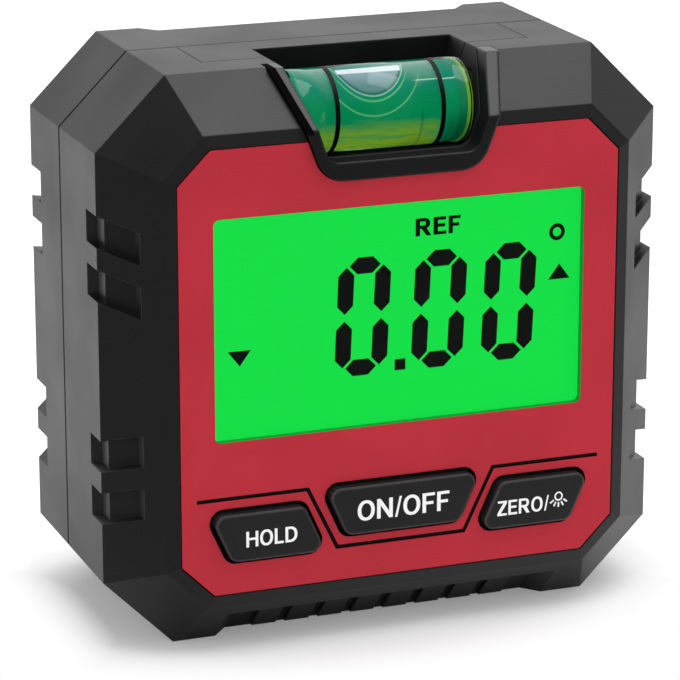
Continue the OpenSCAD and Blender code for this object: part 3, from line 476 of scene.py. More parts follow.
def moulded(name, base, rough, scale=5000.0, depth=0.25, edge=0.25, pale=1.8, **values):
    """Moulded plastic: base colour with a slow tone, paler edges as wear or, where much paler, as a
    painted highlight, and grain in its normal.
    """
    made, tree, shader = material(name, **values)
    grain = group_node(tree, "Moulded grain", Scale=scale, Depth=depth, Edge=edge * MM)
    tone = grain.outputs["Tone"]
    toned = tree.mix(tone, solid(base, 0.85), solid(base, 1.15))
    # paler edges: wear, or a painted highlight along the edges where pale is large, as on the keys
    worn = tree.mix(tree.times(grain.outputs["Edges"], 0.5), toned, solid(base, pale))
    tree.put(shader, Base_Color=worn, Normal=grain.outputs["Normal"],
             Roughness=tree.span(tone, 0.2, 0.8, rough - 0.05, rough + 0.05))
    return made, tree, shader, worn


def plastic(*values, **named):
    """Moulded plastic, as a finished material."""
    return moulded(*values, **named)[0]


def clear(name, base, rough, bend):
    """Clear material that light passes through, with its index of refraction."""
    return material(
        name, Base_Color=(*base, 1.0), Roughness=rough, IOR=bend, Transmission_Weight=1.0)[0]


def printed(name, base, rough, **values):
    """Print or paint: a colour that a fine noise makes a little uneven."""
    made, tree, shader = material(name, **values)
    noise = tree.noise(tree.spot(), PRINT_SCALE)
    tree.put(shader, Base_Color=tree.mix(noise, solid(base, 0.92), solid(base, 1.08)),
             Roughness=tree.span(noise, 0.2, 0.8, rough - 0.06, rough + 0.06))
    return made


def metal(name, base, rough):
    """Bare metal with fine scratches: noise drawn out along X in its roughness and tone."""
    made, tree, shader = material(name, Metallic=1.0)
    noise = tree.noise(tree.drawn(tree.spot(), (0.1, 1.0, 1.0)), SCRATCH_SCALE, Detail=3.0)
    tree.put(shader, Base_Color=tree.mix(noise, solid(base, 0.85), solid(base, 1.1)),
             Roughness=tree.span(noise, 0.3, 0.7, rough - 0.06, rough + 0.06))
    return made


def coat(made, *names):
    """Gives CAD nodes a material."""
    for name in names:
        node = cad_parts[name]
        if not node.material_slots:
            node.data.materials.append(made)
        for slot in node.material_slots:
            slot.link = "OBJECT"
            slot.material = made


def dress(piece, made):
    """Gives a new piece its material."""
    piece.data.materials.clear()
    piece.data.materials.append(made)


class CaseFinish(bpy.types.Operator):
    """Moulded black case halves, battery door, bezel and vial tray"""
    bl_idname = "gauge.case_finish"
    bl_label = "Case finish"

    ROUGH, SOFT = 0.46, 0.18  # roughness, and radius of the softened edges
    SIDE_LEAN = 0.374  # lean of the bezel's left side for each millimetre up
    SIDE_EDGE = (10.0, 10.2)  # where its outer edge ends, carried down to the base
    SIDE_FOOT = 51.4  # height where that edge starts
    TOP_SKIN = 0.2  # depth of what counts as the tray's top

    def execute(self, context):
        finish = context.scene.gauge_finish
        grain_group()
        coat(plastic("Moulded black", finish.case, self.ROUGH, edge=self.SOFT),
             "front_shell", "rear_cover", "battery_door")
        self.trim(finish)
        self.tray(finish)
        return {"FINISHED"}

    def trim(self, finish):
        """Bezel, whose outer edge falls away along its folded left side: that strip is painted near
        black as shade, and its normal is turned to the left.
        """
        made, tree, shader, worn = moulded(
            "Trim black", finish.trim, 0.34, depth=0.1, edge=0.4, pale=2.4)
        grained = shader.inputs["Normal"].links[0].from_socket
        x, _, z = tree.place()
        slanted = tree.plus(x, tree.times(z, self.SIDE_LEAN))
        side = tree.span(slanted, *metres(*self.SIDE_EDGE), 1.0, 0.0)
        border = tree.times(side, tree.above(z, self.SIDE_FOOT * MM))
        # painted shade: the strip along the bezel's left side is made near black
        tree.set(shader, "Base Color", tree.mix(border, worn, (0.002, 0.002, 0.002, 1)))
        fallen = tree.add("ShaderNodeCombineXYZ", X=-0.87, Y=-0.48, Z=0.1).outputs[0]
        tree.set(shader, "Normal", tree.mix(border, grained, fallen))
        coat(made, "vial_bezel")

    def tray(self, finish):
        """Vial tray: its plate in the top face is finished as the case is; the well is black."""
        made, tree, shader, worn = moulded("Tray black", finish.case, self.ROUGH, edge=self.SOFT)
        highest = box("vial_cradle")[1][2]
        top = tree.above(tree.place()[2], (highest - self.TOP_SKIN) * MM)
        tree.set(shader, "Base Color", tree.mix(top, solid(finish.trim, 0.5), worn))
        coat(made, "vial_cradle")


class FacePlate(bpy.types.Operator):
    """Red face plate and the paint in its engraved line"""
    bl_idname = "gauge.face_plate"
    bl_label = "Face plate"

    HALF_W, HALF_H, MIDDLE_Z = 19.17, 11.07, 32.85  # what counts as the display's opening
    BEHIND_FACE = -15.87  # just behind the plate's front
    CUT_TOP = 18  # the engraved line lies below this height
    LINE = ((-21.1, 16.1), (-9.75, 16.1), (-6.7, 9.8))  # left half of the line's route
    LINE_WIDTH, PAINT = 0.4, (-15.76, -15.702)  # its width, and its paint's front and back

    def execute(self, context):
        finish = context.scene.gauge_finish
        self.red(finish)
        left = np.array(self.LINE)
        route = np.vstack([left, left[::-1] * [-1, 1]])
        shape = plate([ribbon_outline(route, self.LINE_WIDTH)], *self.PAINT)
        paint = surface("line_paint", *shape, "case", "plate_red", smooth=False)
        dress(paint, printed("Line paint", finish.ink, 0.6, Specular_IOR_Level=0.2))
        return {"FINISHED"}

    def red(self, finish):
        """Red plate: black paint in its line's cuts, painted shade in its key holes, painted glow
        on its opening's walls.
        """
        made, tree, shader, base = moulded(
            "Plate red", finish.plate, 0.45, scale=7000.0, depth=0.06, edge=0.1, pale=1.15,
            Specular_IOR_Level=0.18, Emission_Strength=0.1)
        x, y, z = tree.place()
        across = tree.minus(tree.size(x), self.HALF_W * MM)
        upwards = tree.minus(tree.size(tree.minus(z, self.MIDDLE_Z * MM)), self.HALF_H * MM)
        inside = tree.below(tree.larger(across, upwards), 0.0)
        behind = tree.above(y, self.BEHIND_FACE * MM)
        # painted light: the walls of the display's opening take its green and glow with it
        wall = tree.times(inside, behind)
        # black below the display, behind the front: paint in the engraved line, and painted shade
        # on the key holes' walls
        cut = tree.times(tree.below(z, self.CUT_TOP * MM), behind)
        inked = tree.mix(cut, base, solid(finish.ink))
        tree.put(shader, Base_Color=tree.mix(wall, inked, solid(finish.display, 0.3)),
                 Emission_Color=tree.mix(wall, BLACK, solid(finish.display)))
        coat(made, "face_plate")


class Display(bpy.types.Operator):
    """Lit display with its digits and signs, and the clear window over it"""
    bl_idname = "gauge.display"
    bl_label = "Display"

    MARK_FRONT, MARK_BACK = 0.03, 0.004  # in front of the glass
    DIGITS = ((-3.47, 32.55), (4.5, 32.55), (11.88, 32.55))  # middles of the noughts
    GAP = 0.34  # half the gap between a digit's upper and lower bars
    UPRIGHT_FREE, FLAT_FREE = 0.55, 0.68  # shares of a bar's width left free at the corners
    POINT, POINT_HALF = (0.42, 27.29), 0.56  # middle and half size of the decimal point
    TRIANGLES = (
        ((16.09, 34.32), (18.38, 34.32), (17.25, 35.87)),
        ((-17.31, 30.37), (-16.11, 28.84), (-14.98, 30.37)))
    DEGREE = (16.95, 39.13)  # middle of the degree ring
    DEGREE_HALVES = ((0.84, 0.86), (0.45, 0.47))  # half widths and heights, outside and inside
    REF_BOX = (1.98, 6.68, 40.03, 41.8)  # left, right, foot and top of the word

    def segment(self, centre, reach, width, upright):
        """A six-sided bar with pointed ends."""
        half = width / 2
        bar = np.array([[-reach, 0], [half - reach, -half], [reach - half, -half],
                        [reach, 0], [reach - half, half], [half - reach, half]])
        return (bar[:, ::-1] if upright else bar) + centre

    def digit(self, sizes):
        """The six outer bars that make a nought, about its own middle."""
        half_w, half_h, bar = sizes.digit_width / 2, sizes.digit_height / 2, sizes.segment
        reach = (half_h - bar * self.UPRIGHT_FREE - self.GAP) / 2
        flat = half_w - bar * self.FLAT_FREE
        x, z, top = half_w - bar / 2, self.GAP + reach, half_h - bar / 2
        bars = [self.segment([0, side * top], flat, bar, False) for side in (-1, 1)]
        bars += [
            self.segment([sx * x, sz * z], reach, bar, True) for sx in (-1, 1) for sz in (-1, 1)]
        return bars

    def execute(self, context):
        finish, sizes = context.scene.gauge_finish, context.scene.gauge_marks
        face = box("display_glass")[0][1]
        parts = self.marks(sizes, face - self.MARK_FRONT, face - self.MARK_BACK)
        piece = surface("display_marks", *join(parts), "case", "display_green", smooth=False)
        dress(piece, printed("Display mark", finish.mark, 0.55, Specular_IOR_Level=0.2))
        self.lit(finish)
        coat(clear("Window clear", (0.98, 1.0, 0.98), 0.02, 1.1), "display_window")
        return {"FINISHED"}

    def marks(self, sizes, front, back):
        """Plates of the digits, the point, the triangles, the degree ring and the word."""
        lean = math.tan(sizes.lean)
        shapes = [
            [bar + np.outer(bar[:, 1], [lean, 0]) + middle]
            for middle in self.DIGITS for bar in self.digit(sizes)]
        square = np.array([[-1, -1], [1, -1], [1, 1], [-1, 1]]) * self.POINT_HALF
        shapes.append([square + self.POINT])
        shapes += [[triangle] for triangle in self.TRIANGLES]
        shapes.append([whole(*self.DEGREE, *half) for half in self.DEGREE_HALVES])
        letters = capitals(sizes.stem * sizes.bold, sizes.bar * sizes.bold)
        ref = word("REF", letters, *self.REF_BOX, front, back)
        return [*(plate(shape, front, back) for shape in shapes), ref]

    def lit(self, finish):
        """Display glass that shines green, a little cloudy."""
        made, tree, shader = material(
            "Display lit", Emission_Strength=0.85, Specular_IOR_Level=0.15)
        cloud = tree.noise(tree.spot(), 40.0, Detail=1.0)
        green = tree.mix(cloud, solid(finish.display, 0.97), solid(finish.display, 1.03))
        tree.put(shader, Emission_Color=green, Base_Color=tree.mix(0.85, green, BLACK),
                 Roughness=tree.span(cloud, 0.2, 0.8, 0.3, 0.36))
        coat(made, "display_glass")


class Keys(bpy.types.Operator):
    """Three dark keys with their words and the lamp sign"""
    bl_idname = "gauge.keys"
    bl_label = "Keys"

    PRINT_RISE = 0.008  # how far the print stands in front of the keys
    WORDS = (  # piece, text, left, right, foot, top and body
        ("hold_word", "HOLD", -16.42, -11.17, 11.26, 12.85, "hold_button"),
        ("power_word", "ON/OFF", -4.9, 4.77, 12.52, 14.55, "power_button"),
        ("zero_word", "ZERO/", 9.94, 15.5, 11.18, 12.72, "zero_button"))
    LAMP = (16.56, 12.5)  # middle of the lamp sign
    BULB_HALVES = ((0.45, 0.48), (0.3, 0.33))  # half widths and heights, outside and inside
    RAYS = (215, 243, 270, 297, 325)  # ways that its rays point, in degrees
    RAY_START, RAY_END, RAY_WIDTH = 0.64, 1.12, 0.17

    def execute(self, context):
        finish, sizes = context.scene.gauge_finish, context.scene.gauge_marks
        # pale=26.0 paints a highlight along the keys' edges: painted light, not wear
        dark = plastic("Key dark", finish.key, 0.42, depth=0.12, edge=0.22, pale=26.0,
                       Specular_IOR_Level=0.25)
        coat(dark, "hold_key", "power_key", "zero_key")
        front = box("power_key")[0][1] - self.PRINT_RISE
        back = front + sizes.print_depth
        white = printed("Lettering white", finish.letter, 0.52)
        letters = capitals(sizes.stem, sizes.bar)
        for name, text, *ends, body in self.WORDS:
            shape = word(text, letters, *ends, front, back)
            dress(surface(name, *shape, body, "key_dark", smooth=False), white)
        sign = join([plate(shape, front, back) for shape in self.lamp_sign()])
        dress(surface("lamp_sign", *sign, "zero_button", "key_dark", smooth=False), white)
        return {"FINISHED"}

    def lamp_sign(self):
        """Outlines of the lamp sign: a ring and the rays below it."""
        turns = np.radians(self.RAYS)
        ways = np.stack([np.cos(turns), np.sin(turns)], -1)
        starts, ends = self.LAMP + ways * self.RAY_START, self.LAMP + ways * self.RAY_END
        ring = [whole(*self.LAMP, *half) for half in self.BULB_HALVES]
        rays = [[ribbon_outline(route, self.RAY_WIDTH)] for route in np.stack([starts, ends], 1)]
        return [ring, *rays]


class Vial(bpy.types.Operator):
    """Spirit vial: clear barrel, coloured liquid with its bubble, black rings and end plug"""
    bl_idname = "gauge.vial"
    bl_label = "Spirit vial"

    STEPS, LENGTHS = 128, 48  # points round the vial and along the liquid
    BEHIND_BEZEL = 0.65  # the tube runs on behind the bezel's left side, within the tray's well
    LIQUID_START, BORE_START = 0.15, 0.18  # from the tube's left end
    LAP = 0.03  # the barrel's hole is this much narrower than what fills it
    PIN = 0.05  # radius of the fine hole along the axis at the barrel's left end
    SOFT = 0.25  # radius of the barrel's ends
    GROOVE, GROOVE_PLAY = 0.14, 0.01  # depth of a ring's groove, and play beside the ring
    STREAK_SCALE = 1400.0
    YELLOW_END = (4.4, 5.9)  # along the vial, where the painted yellow-green light fades
    IMAGE = (3.3, 0.06, 0.12)  # middle, half width and soft edge of the right ring's painted dark image
    BEYOND = (5.6, 7.0)  # along the vial, where the painted shade of dark green comes in
    THREAD = (2.6, 3.4)  # along the vial, where the painted highlight line comes in
    PLUG_RIM = (0.34, 0.22)  # from the right end, where the plug's painted rim of light comes in
    # painted light and shade: arcs, highlight line, the bubble's shade, edge, rim and highlight
    # strip, the plug's rim
    ARC_COLOUR, THREAD_COLOUR = linear(130, 225, 160), linear(190, 240, 220)
    FRONT_COLOUR, BACK_COLOUR = linear(96, 142, 138), linear(62, 138, 122)
    EDGE_COLOUR, RIM_COLOUR = linear(52, 112, 98), linear(140, 200, 188)
    STRIP_COLOUR, PLUG_COLOUR = linear(232, 242, 248), linear(130, 188, 52)

    def turned_round(self, section, centre):
        """(x, r) points turned round the vial's axis, with y as r sin t and z as r cos t.

        Also how many points lie along the section and round the axis."""
        t = np.linspace(0, 2 * np.pi, self.STEPS, endpoint=False)
        x, r = section[:, :1], section[:, 1:]
        points = np.stack([
            np.broadcast_to(x, (len(x), len(t))),
            centre[1] + r * np.sin(t), centre[2] + r * np.cos(t)], -1)
        return points.reshape(-1, 3), len(x), len(t)

    def execute(self, context):
        finish = context.scene.gauge_finish
        low, high = box("vial_barrel")
        centre, r = (low + high) / 2, (high[2] - low[2]) / 2
        bore = np.ptp(box("vial_fluid")[:, 2]) / 2
        plug = box("vial_plug")
        bubble_group(centre)
        self.tint_group(centre[2], r, finish)
        left = low[0] - self.BEHIND_BEZEL
        self.liquid(left + self.LIQUID_START, plug[0][0], centre, bore, finish)
        self.barrel(left, high[0], centre, r, bore - self.LAP, plug)
        coat(plastic("Ring black", (0.003, 0.003, 0.003), 0.5, depth=0.05, edge=0.03,
                     Specular_IOR_Level=0.15), "vial_ring_left", "vial_ring_right")
        self.plug(high[0])
        return {"FINISHED"}

    def tint_group(self, middle, r, finish):
        """Colour of the liquid by its height, as painted light: teal on top, green, and
        yellow-green below.

        A noise drawn out along the vial streaks it. Right of the right ring painted shade turns
        the yellow to dark green, and a painted dark image of that ring lies low in the liquid."""
        tree, _, out = shared_group("Vial tint", {}, Color="Color", Level="Float")
        along, _, up = tree.place()
        level = tree.math("DIVIDE", tree.minus(up, middle * MM), r * MM)
        drawn = tree.drawn(tree.spot(), (0.25, 1.0, 1.0))
        streak = tree.noise(drawn, self.STREAK_SCALE, Detail=2.0)
        wavy = tree.plus(level, tree.times(tree.minus(streak, 0.5), 0.5))
        before_ring = tree.span(along, *metres(*self.YELLOW_END), 1.0, 0.0)
        patch = tree.times(tree.span(streak, 0.25, 0.6, 0.35, 0.95), before_ring)
        # painted light: yellow-green where light gathers low in the liquid, in patches
        yellow = tree.times(tree.span(wavy, -0.5, -0.06, 1.0, 0.0), patch)
        # painted shade: the right ring's dark image low down, and the lower liquid right of that
        # ring, both a shaded copy of the middle green
        shadow = tree.band(along, *metres(*self.IMAGE))
        image = tree.times(shadow, tree.span(level, -0.1, 0.1, 0.4, 0.0))
        first = tree.mix(yellow, solid(finish.liquid_mid), solid(finish.liquid_low))
        right = tree.span(along, *metres(*self.BEYOND))
        beyond = tree.times(right, tree.span(level, 0.2, -0.7, 0.0, 0.85))
        crossed = tree.mix(tree.larger(image, beyond), first, solid(finish.liquid_mid, 0.3))
        teal = tree.span(wavy, 0.1, 0.75)
        tree.put(out, Color=tree.mix(teal, crossed, solid(finish.liquid_high)), Level=level)

    def barrel(self, left, right, centre, r, bore, plug):
        """Clear barrel with softened ends, a groove for each ring, and the bore up to the plug."""
        bend = np.radians(np.linspace(0, 90, 7))
        corner = np.stack([np.sin(bend), np.cos(bend)], -1) * self.SOFT
        grooves, floor = [], r - self.GROOVE
        for name in ("vial_ring_left", "vial_ring_right"):
            low, high = box(name)
            start, end = low[0] - self.GROOVE_PLAY, high[0] + self.GROOVE_PLAY
            grooves += [[start, r], [start, floor], [end, floor], [end, r]]
        first = corner[::-1] * [-1, 1] + [left + self.SOFT, r - self.SOFT]
        last = corner + [right - self.SOFT, r - self.SOFT]
        hole = np.ptp(plug[:, 2]) / 2 - self.LAP
        shoulder, end = plug[0][0], left + self.BORE_START
        inner = [[right, hole], [shoulder, hole], [shoulder, bore],
                 [end, bore], [end, self.PIN], [left, self.PIN]]
        section = np.vstack([first, grooves, last, inner])
        points, rows, columns = self.turned_round(section, centre)
        faces = grid_faces(rows, columns, True, True)[:, ::-1]
        piece = surface("vial_tube", points, faces, "case", "vial_clear")
        dress(piece, clear("Vial clear", (0.97, 1.0, 0.98), 0.08, 1.38))
        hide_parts("vial_barrel")

    def liquid(self, left, right, centre, bore, finish):
        """Round rod of liquid, flat at both ends, that fills the bore."""
        along = np.linspace(left, right, self.LENGTHS)
        section = np.stack([along, np.full(self.LENGTHS, bore)], -1)
        points, rows, columns = self.turned_round(section, centre)
        ring = np.arange(columns)
        ends = [ring, (ring + (rows - 1) * columns)[::-1]]
        faces = [*grid_faces(rows, columns, False, True)[:, ::-1], *ends]
        piece = surface("vial_liquid", points, faces, "case", "vial_green")
        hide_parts("vial_fluid")
        dress(piece, self.wet(finish))

    def wet(self, finish):
        """Liquid with a painted glow, a painted bubble and painted pale arcs of light round it."""
        made, tree, shader = material(
            "Vial liquid", Emission_Strength=0.75, Specular_IOR_Level=0.05)
        tint, spot = group_node(tree, "Vial tint"), group_node(tree, "Bubble place")
        reach, turn, along = (spot.outputs[label] for label in ("Reach", "Turn", "Along"))
        # painted light: pale arcs of refracted light round the bubble
        arcs = tree.larger(tree.band(reach, 1.12, 0.01, 0.03), tree.band(reach, 1.5, 0.005, 0.03))
        faint = tree.times(arcs, tree.span(turn, 0.1, 0.8, 0.0, 0.42))
        lit = tree.mix(faint, tint.outputs["Color"], solid(self.ARC_COLOUR))
        # painted highlight: a thin pale line along the liquid's front, on its right half
        thread = tree.band(spot.outputs["Round"], 0.7, 0.012, 0.015)
        line = tree.times(thread, tree.span(tree.place()[0], *metres(*self.THREAD)))
        lined = tree.mix(tree.times(line, 0.75), lit, solid(self.THREAD_COLOUR))
        # painted shade on the painted bubble: darker towards its front and behind, and a dark edge
        near = tree.mix(tree.span(turn, 0.3, 0.85), solid(finish.bubble), solid(self.FRONT_COLOUR))
        shade = tree.mix(tree.span(turn, -0.06, -0.02), solid(self.BACK_COLOUR), near)
        edge = tree.mix(tree.span(reach, 0.84, 0.94), shade, solid(self.EDGE_COLOUR))
        # painted light: a pale rim round the bubble
        rim = tree.mix(tree.span(reach, 0.95, 0.99), edge, solid(self.RIM_COLOUR))
        # painted highlight: a white strip along the bubble near its top
        ends = tree.span(along, 0.9, 0.97, 1.0, 0.0)
        strip = tree.times(tree.band(turn, 0.11, 0.12, 0.03), ends)
        bubble = tree.mix(strip, rim, solid(self.STRIP_COLOUR))
        shown = tree.mix(tree.span(reach, 0.99, 1.02, 1.0, 0.0), lined, bubble)
        self.light_through(tree, shader, shown, tint.outputs["Level"], 0.6, 0.3)
        return made

    def light_through(self, tree, shader, shown, level, dim, rough):
        """Sets a colour as the shader's own painted glow and, dimmed, as its surface.

        It shines where it is seen directly or through the barrel, and not onto the tray."""
        path = tree.add("ShaderNodeLightPath").outputs
        seen = tree.below(tree.plus(path["Diffuse Depth"], path["Glossy Depth"]), 0.5)
        tree.put(shader, Base_Color=tree.mix(dim, shown, BLACK),
                 Emission_Color=tree.mix(seen, BLACK, shown),
                 Roughness=tree.span(level, -1.0, 1.0, rough, rough + 0.1))

    def plug(self, right):
        """Plug that takes the liquid's painted colour and glow, and shows a paler rim of painted
        light at its outer end.
        """
        made, tree, shader = material("Plug green", Emission_Strength=0.5, Specular_IOR_Level=0.2)
        tint = group_node(tree, "Vial tint")
        level = tint.outputs["Level"]
        end = tree.span(tree.place()[0], *metres(*(right - inset for inset in self.PLUG_RIM)))
        # painted light: the rim, fainter low down
        rim = tree.times(end, tree.span(level, -0.7, 0.1, 0.3, 1.0))
        shown = tree.mix(rim, tint.outputs["Color"], solid(self.PLUG_COLOUR))
        self.light_through(tree, shader, shown, level, 0.5, 0.35)
        coat(made, "vial_plug")


class Fittings(bpy.types.Operator):
    """Screws, magnets, cells, contacts and the parts inside the case"""
    bl_idname = "gauge.fittings"
    bl_label = "Fittings"

    WRAP, SILVER = linear(52, 84, 120), linear(176, 178, 182)  # the cells' colours
    BAND_SHARE, LINE_SHARE = 0.36, 0.32  # band's edge and line's middle, as shares of the length
    LINE = (0.35, 0.05)  # half width and soft edge of the line

    def cell(self, label, name, spring):
        """A cell in a blue wrap, with a silver band and a line at the end away from its spring."""
        made, tree, shader, wrap = moulded(label, self.WRAP, 0.3, depth=0.05)
        low, high = box(name)
        middle, length = (low[0] + high[0]) / 2, high[0] - low[0]
        side = float(np.sign(middle - box(spring)[:, 0].mean()))
        along = tree.times(tree.minus(tree.place()[0], middle * MM), side)
        end = tree.above(along, length * self.BAND_SHARE * MM)
        line = tree.band(along, *metres(length * self.LINE_SHARE, *self.LINE))
        silver = tree.larger(end, line)
        tree.set(shader, "Base Color", tree.mix(silver, wrap, solid(self.SILVER)))
        coat(made, name)

    def execute(self, context):
        coat(metal("Screw steel", (0.32, 0.32, 0.33), 0.34), "case_screws", "board_screws")
        coat(metal("Magnet plating", (0.62, 0.61, 0.58), 0.25), "front_left_magnet",
             "front_right_magnet", "rear_left_magnet", "rear_right_magnet")
        coat(metal("Contact plating", (0.68, 0.67, 0.63), 0.28), "upper_contact", "lower_contact",
             "bridge_contact", "upper_spring", "lower_spring", "hold_switch", "power_switch",
             "zero_switch")
        self.cell("Upper cell wrap", "upper_cell", "upper_spring")
        self.cell("Lower cell wrap", "lower_cell", "lower_spring")
        coat(plastic("Lead red", linear(170, 24, 20), 0.45), "battery_leads")
        coat(plastic("Board green", linear(22, 84, 48), 0.4, depth=0.1), "circuit_board")
        coat(plastic("Chip black", (0.012, 0.012, 0.012), 0.5), "controller_chip", "tilt_sensor",
             "hold_plunger", "power_plunger", "zero_plunger")
        coat(plastic("Frame white", linear(220, 220, 214), 0.5), "display_frame", "backlight_led")
        coat(plastic("Strip grey", linear(120, 118, 124), 0.7), "contact_strip")
        coat(clear("Guide clear", (0.9, 1.0, 0.93), 0.1, 1.49), "light_guide")
        return {"FINISHED"}


class Stage(bpy.types.Operator):
    """Pale floor, soft studio light, white surroundings and the camera"""
    bl_idname = "gauge.stage"
    bl_label = "Stage"

    FLOOR_STEPS, FLOOR_DROP = 96, 0.02  # points round the floor, and its depth below the base
    FLOOR_RINGS = (0.1, 50, 100, 200, 500, 3000)  # radii of its rings of points
    FLOOR_SQUEEZE = (1.0, 1.6, 1.0)  # the shadow's round is wider across than deep
    WHITE_AWAY, WHITE_LEFT = (28, 42), (-24, -33)  # where the floor turns white
    DARK_ACROSS, DARK_DEEP = 25, 15.5  # half size of the painted shadow under the case in mirrored rays
    DARK_EDGE, DARK_WAY = (-7, 6), (-50, 25)  # over its edge, and from the front to the back
    LAMPS = (  # name, place, width and height in metres, power, and whether mirrored rays show it
        ("top_lamp", (0.1, -0.05, 0.46), 0.36, 0.36, 1.4, True),
        ("left_lamp", (-0.42, -0.2, 0.3), 0.3, 0.3, 0.4, False),
        ("right_lamp", (0.4, -0.25, 0.25), 0.3, 0.3, 0.35, False),
        ("front_lamp", (-0.05, -0.55, 0.15), 0.4, 0.3, 0.5, False))
    LAMP_AIM = (0, 0, 0.03)
    CAMERA_AIM, SENSOR = (0, 0, 28), 36

    def seen(self, tree):
        """Camera rays, and 1 for those and for rays mirrored by or passing through a surface."""
        path = tree.add("ShaderNodeLightPath").outputs
        direct = path["Is Camera Ray"]
        shiny = tree.larger(path["Is Glossy Ray"], path["Is Transmission Ray"])
        return direct, tree.larger(direct, shiny)

    def world(self, scene):
        """White where it is seen, dark in front for mirrored rays, and soft light for the rest."""
        scene.world = bpy.data.worlds.new("Studio")
        scene.world.use_nodes = True
        tree = Tree(scene.world.node_tree)
        back = scene.world.node_tree.nodes["Background"]
        direct, seen = self.seen(tree)
        way = tree.add("ShaderNodeTexCoord").outputs["Generated"]
        across, depth, _ = tree.split(way)
        mirrored = tree.times(
            tree.span(depth, -0.1, 0.6, 0.04, 1.2), tree.span(across, -0.4, 0.2, 0.7, 1.0))
        shown = tree.larger(mirrored, direct)
        tree.put(back, Strength=tree.blend(seen, scene.gauge_stage.ambient, shown), Color=WHITE)

    def floor(self):
        """A disc of floor: rings of points at r cos t and r sin t."""
        t = np.linspace(0, 2 * np.pi, self.FLOOR_STEPS, endpoint=False)[None, :]
        r = np.array(self.FLOOR_RINGS)[:, None]
        height = np.full((len(r), self.FLOOR_STEPS), -self.FLOOR_DROP)
        points = np.stack([r * np.cos(t), r * np.sin(t), height], -1).reshape(-1, 3)
        faces = grid_faces(len(r), self.FLOOR_STEPS, False, True)[:, ::-1]
        piece = mesh_object("floor", points, faces, False)
        dress(piece, self.floor_finish())

    def floor_finish(self):
        """Takes the shadow near the object and turns white further out, soonest on the left.

        Mirrored in the object it darkens towards the front and the left. It is clear from below."""
        made, tree, _ = material("Floor")
        made.node_tree.nodes.clear()
        spot = tree.spot()
        across, depth, _ = tree.split(spot)
        squeezed = tree.drawn(spot, self.FLOOR_SQUEEZE)
        away = tree.filled("ShaderNodeVectorMath", (0,), (squeezed,), operation="LENGTH")["Value"]
        direct, seen = self.seen(tree)
        near = tree.add("ShaderNodeBsdfDiffuse", Color=(0.94, 0.94, 0.94, 1))
        strength = tree.larger(self.floor_mirrored(tree, across, depth), direct)
        glow = tree.add("ShaderNodeEmission", Color=WHITE, Strength=strength)
        left = tree.span(across, *metres(*self.WHITE_LEFT))
        outer = tree.span(away, *metres(*self.WHITE_AWAY), 0.2, 1.0)
        far = tree.times(direct, tree.larger(left, outer))
        share = tree.larger(far, tree.minus(seen, direct))
        mixed = tree.mix_shaders(share, near.outputs[0], glow.outputs[0])
        backfacing = tree.add("ShaderNodeNewGeometry").outputs["Backfacing"]
        unseen = tree.add("ShaderNodeBsdfTransparent").outputs[0]
        below = tree.mix_shaders(backfacing, mixed, unseen)
        tree.set(tree.add("ShaderNodeOutputMaterial"), 0, below)
        return made

    def floor_mirrored(self, tree, across, depth):
        """The floor's strength in mirrored rays: low under the case as a painted shadow, and low in
        front and on the left.
        """
        slanted = tree.plus(depth, tree.times(across, 0.4))
        beside = tree.minus(tree.size(across), self.DARK_ACROSS * MM)
        before = tree.minus(tree.size(depth), self.DARK_DEEP * MM)
        outside = tree.span(tree.larger(beside, before), *metres(*self.DARK_EDGE), 0.06, 1.0)
        return tree.times(tree.span(slanted, *metres(*self.DARK_WAY), 0.1, 1.3), outside)

    def lamp(self, name, place, width, height, power, mirrored):
        """A soft lamp turned towards the object, which shows in mirrored rays or only lights."""
        lamp = bpy.data.lights.new(name, "AREA")
        lamp.shape, lamp.size, lamp.size_y, lamp.energy = "RECTANGLE", width, height, power
        piece = placed(name, lamp)
        piece.visible_glossy = mirrored
        piece.location = place
        way = Vector(self.LAMP_AIM) - Vector(place)
        piece.rotation_euler = way.to_track_quat("-Z", "Y").to_euler()

    def camera(self, stage):
        """The camera, placed from its two angles, its distance and the object's place in view."""
        a, e = stage.azimuth, stage.elevation
        back = np.array([math.sin(a) * math.cos(e), -math.cos(a) * math.cos(e), math.sin(e)])
        right = np.array([math.cos(a), math.sin(a), 0])
        up = np.cross(back, right)
        place = self.CAMERA_AIM + back * stage.distance - right * stage.slide - up * stage.rise
        camera = bpy.data.cameras.new("Camera")
        camera.lens, camera.sensor_width = stage.lens, self.SENSOR
        camera.clip_start, camera.clip_end = 0.01, 20
        piece = placed("Camera", camera)
        piece.location = place * MM
        piece.rotation_mode = "QUATERNION"
        piece.rotation_quaternion = (-Vector(back)).to_track_quat("-Z", "Y")
        bpy.context.scene.camera = piece

    def execute(self, context):
        scene = context.scene
        scene.view_settings.view_transform = "Standard"
        self.world(scene)
        self.floor()
        for values in self.LAMPS:
            self.lamp(*values)
        self.camera(scene.gauge_stage)
        return {"FINISHED"}


OPERATORS = (CaseFinish, FacePlate, Display, Keys, Vial, Fittings, Stage)
GROUPS = {"gauge_finish": GaugeFinish, "gauge_marks": GaugeMarks, "gauge_stage": GaugeStage}


class GaugePanel(bpy.types.Panel):
    """Lists the steps and the values that may be changed"""
    bl_idname = "VIEW3D_PT_angle_gauge"
    bl_label = "Angle Gauge"
    bl_space_type = "VIEW_3D"
    bl_region_type = "UI"
    bl_category = "Angle Gauge"

    def draw(self, context):
        for step in OPERATORS:
            self.layout.operator(step.bl_idname)
        for name, kind in GROUPS.items():
            for key in kind.__annotations__:
                self.layout.prop(getattr(context.scene, name), key)


CLASSES = (*GROUPS.values(), *OPERATORS, GaugePanel)


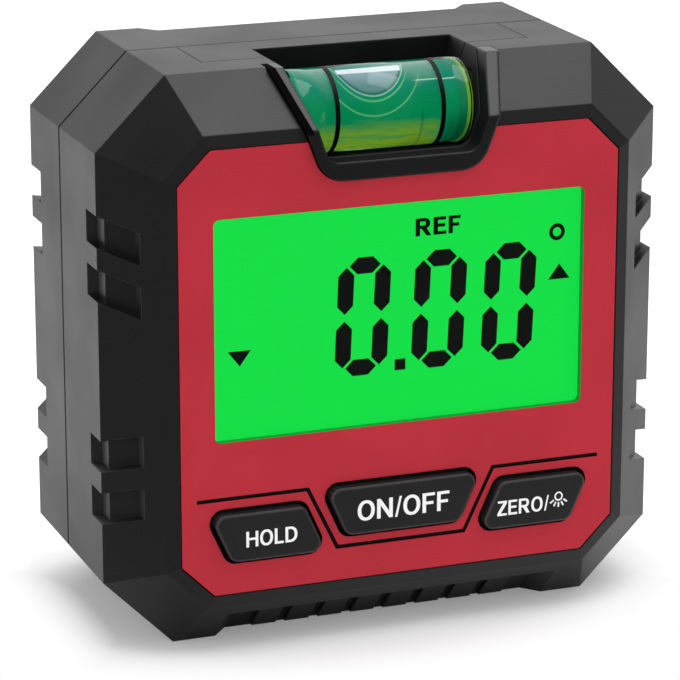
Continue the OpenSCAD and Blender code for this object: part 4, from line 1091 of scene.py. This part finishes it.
def register():
    """Registers the classes and adds their values to the scene."""
    for kind in CLASSES:
        bpy.utils.register_class(kind)
    for name, kind in GROUPS.items():
        setattr(bpy.types.Scene, name, bpy.props.PointerProperty(type=kind))


def unregister():
    """Takes the values and the classes away again."""
    for name in GROUPS:
        delattr(bpy.types.Scene, name)
    for kind in reversed(CLASSES):
        bpy.utils.unregister_class(kind)


def main():
    """Builds everything in order."""
    register()
    for step in OPERATORS:
        getattr(bpy.ops.gauge, step.bl_idname.split(".")[1])()


if __name__ == "__main__":
    main()
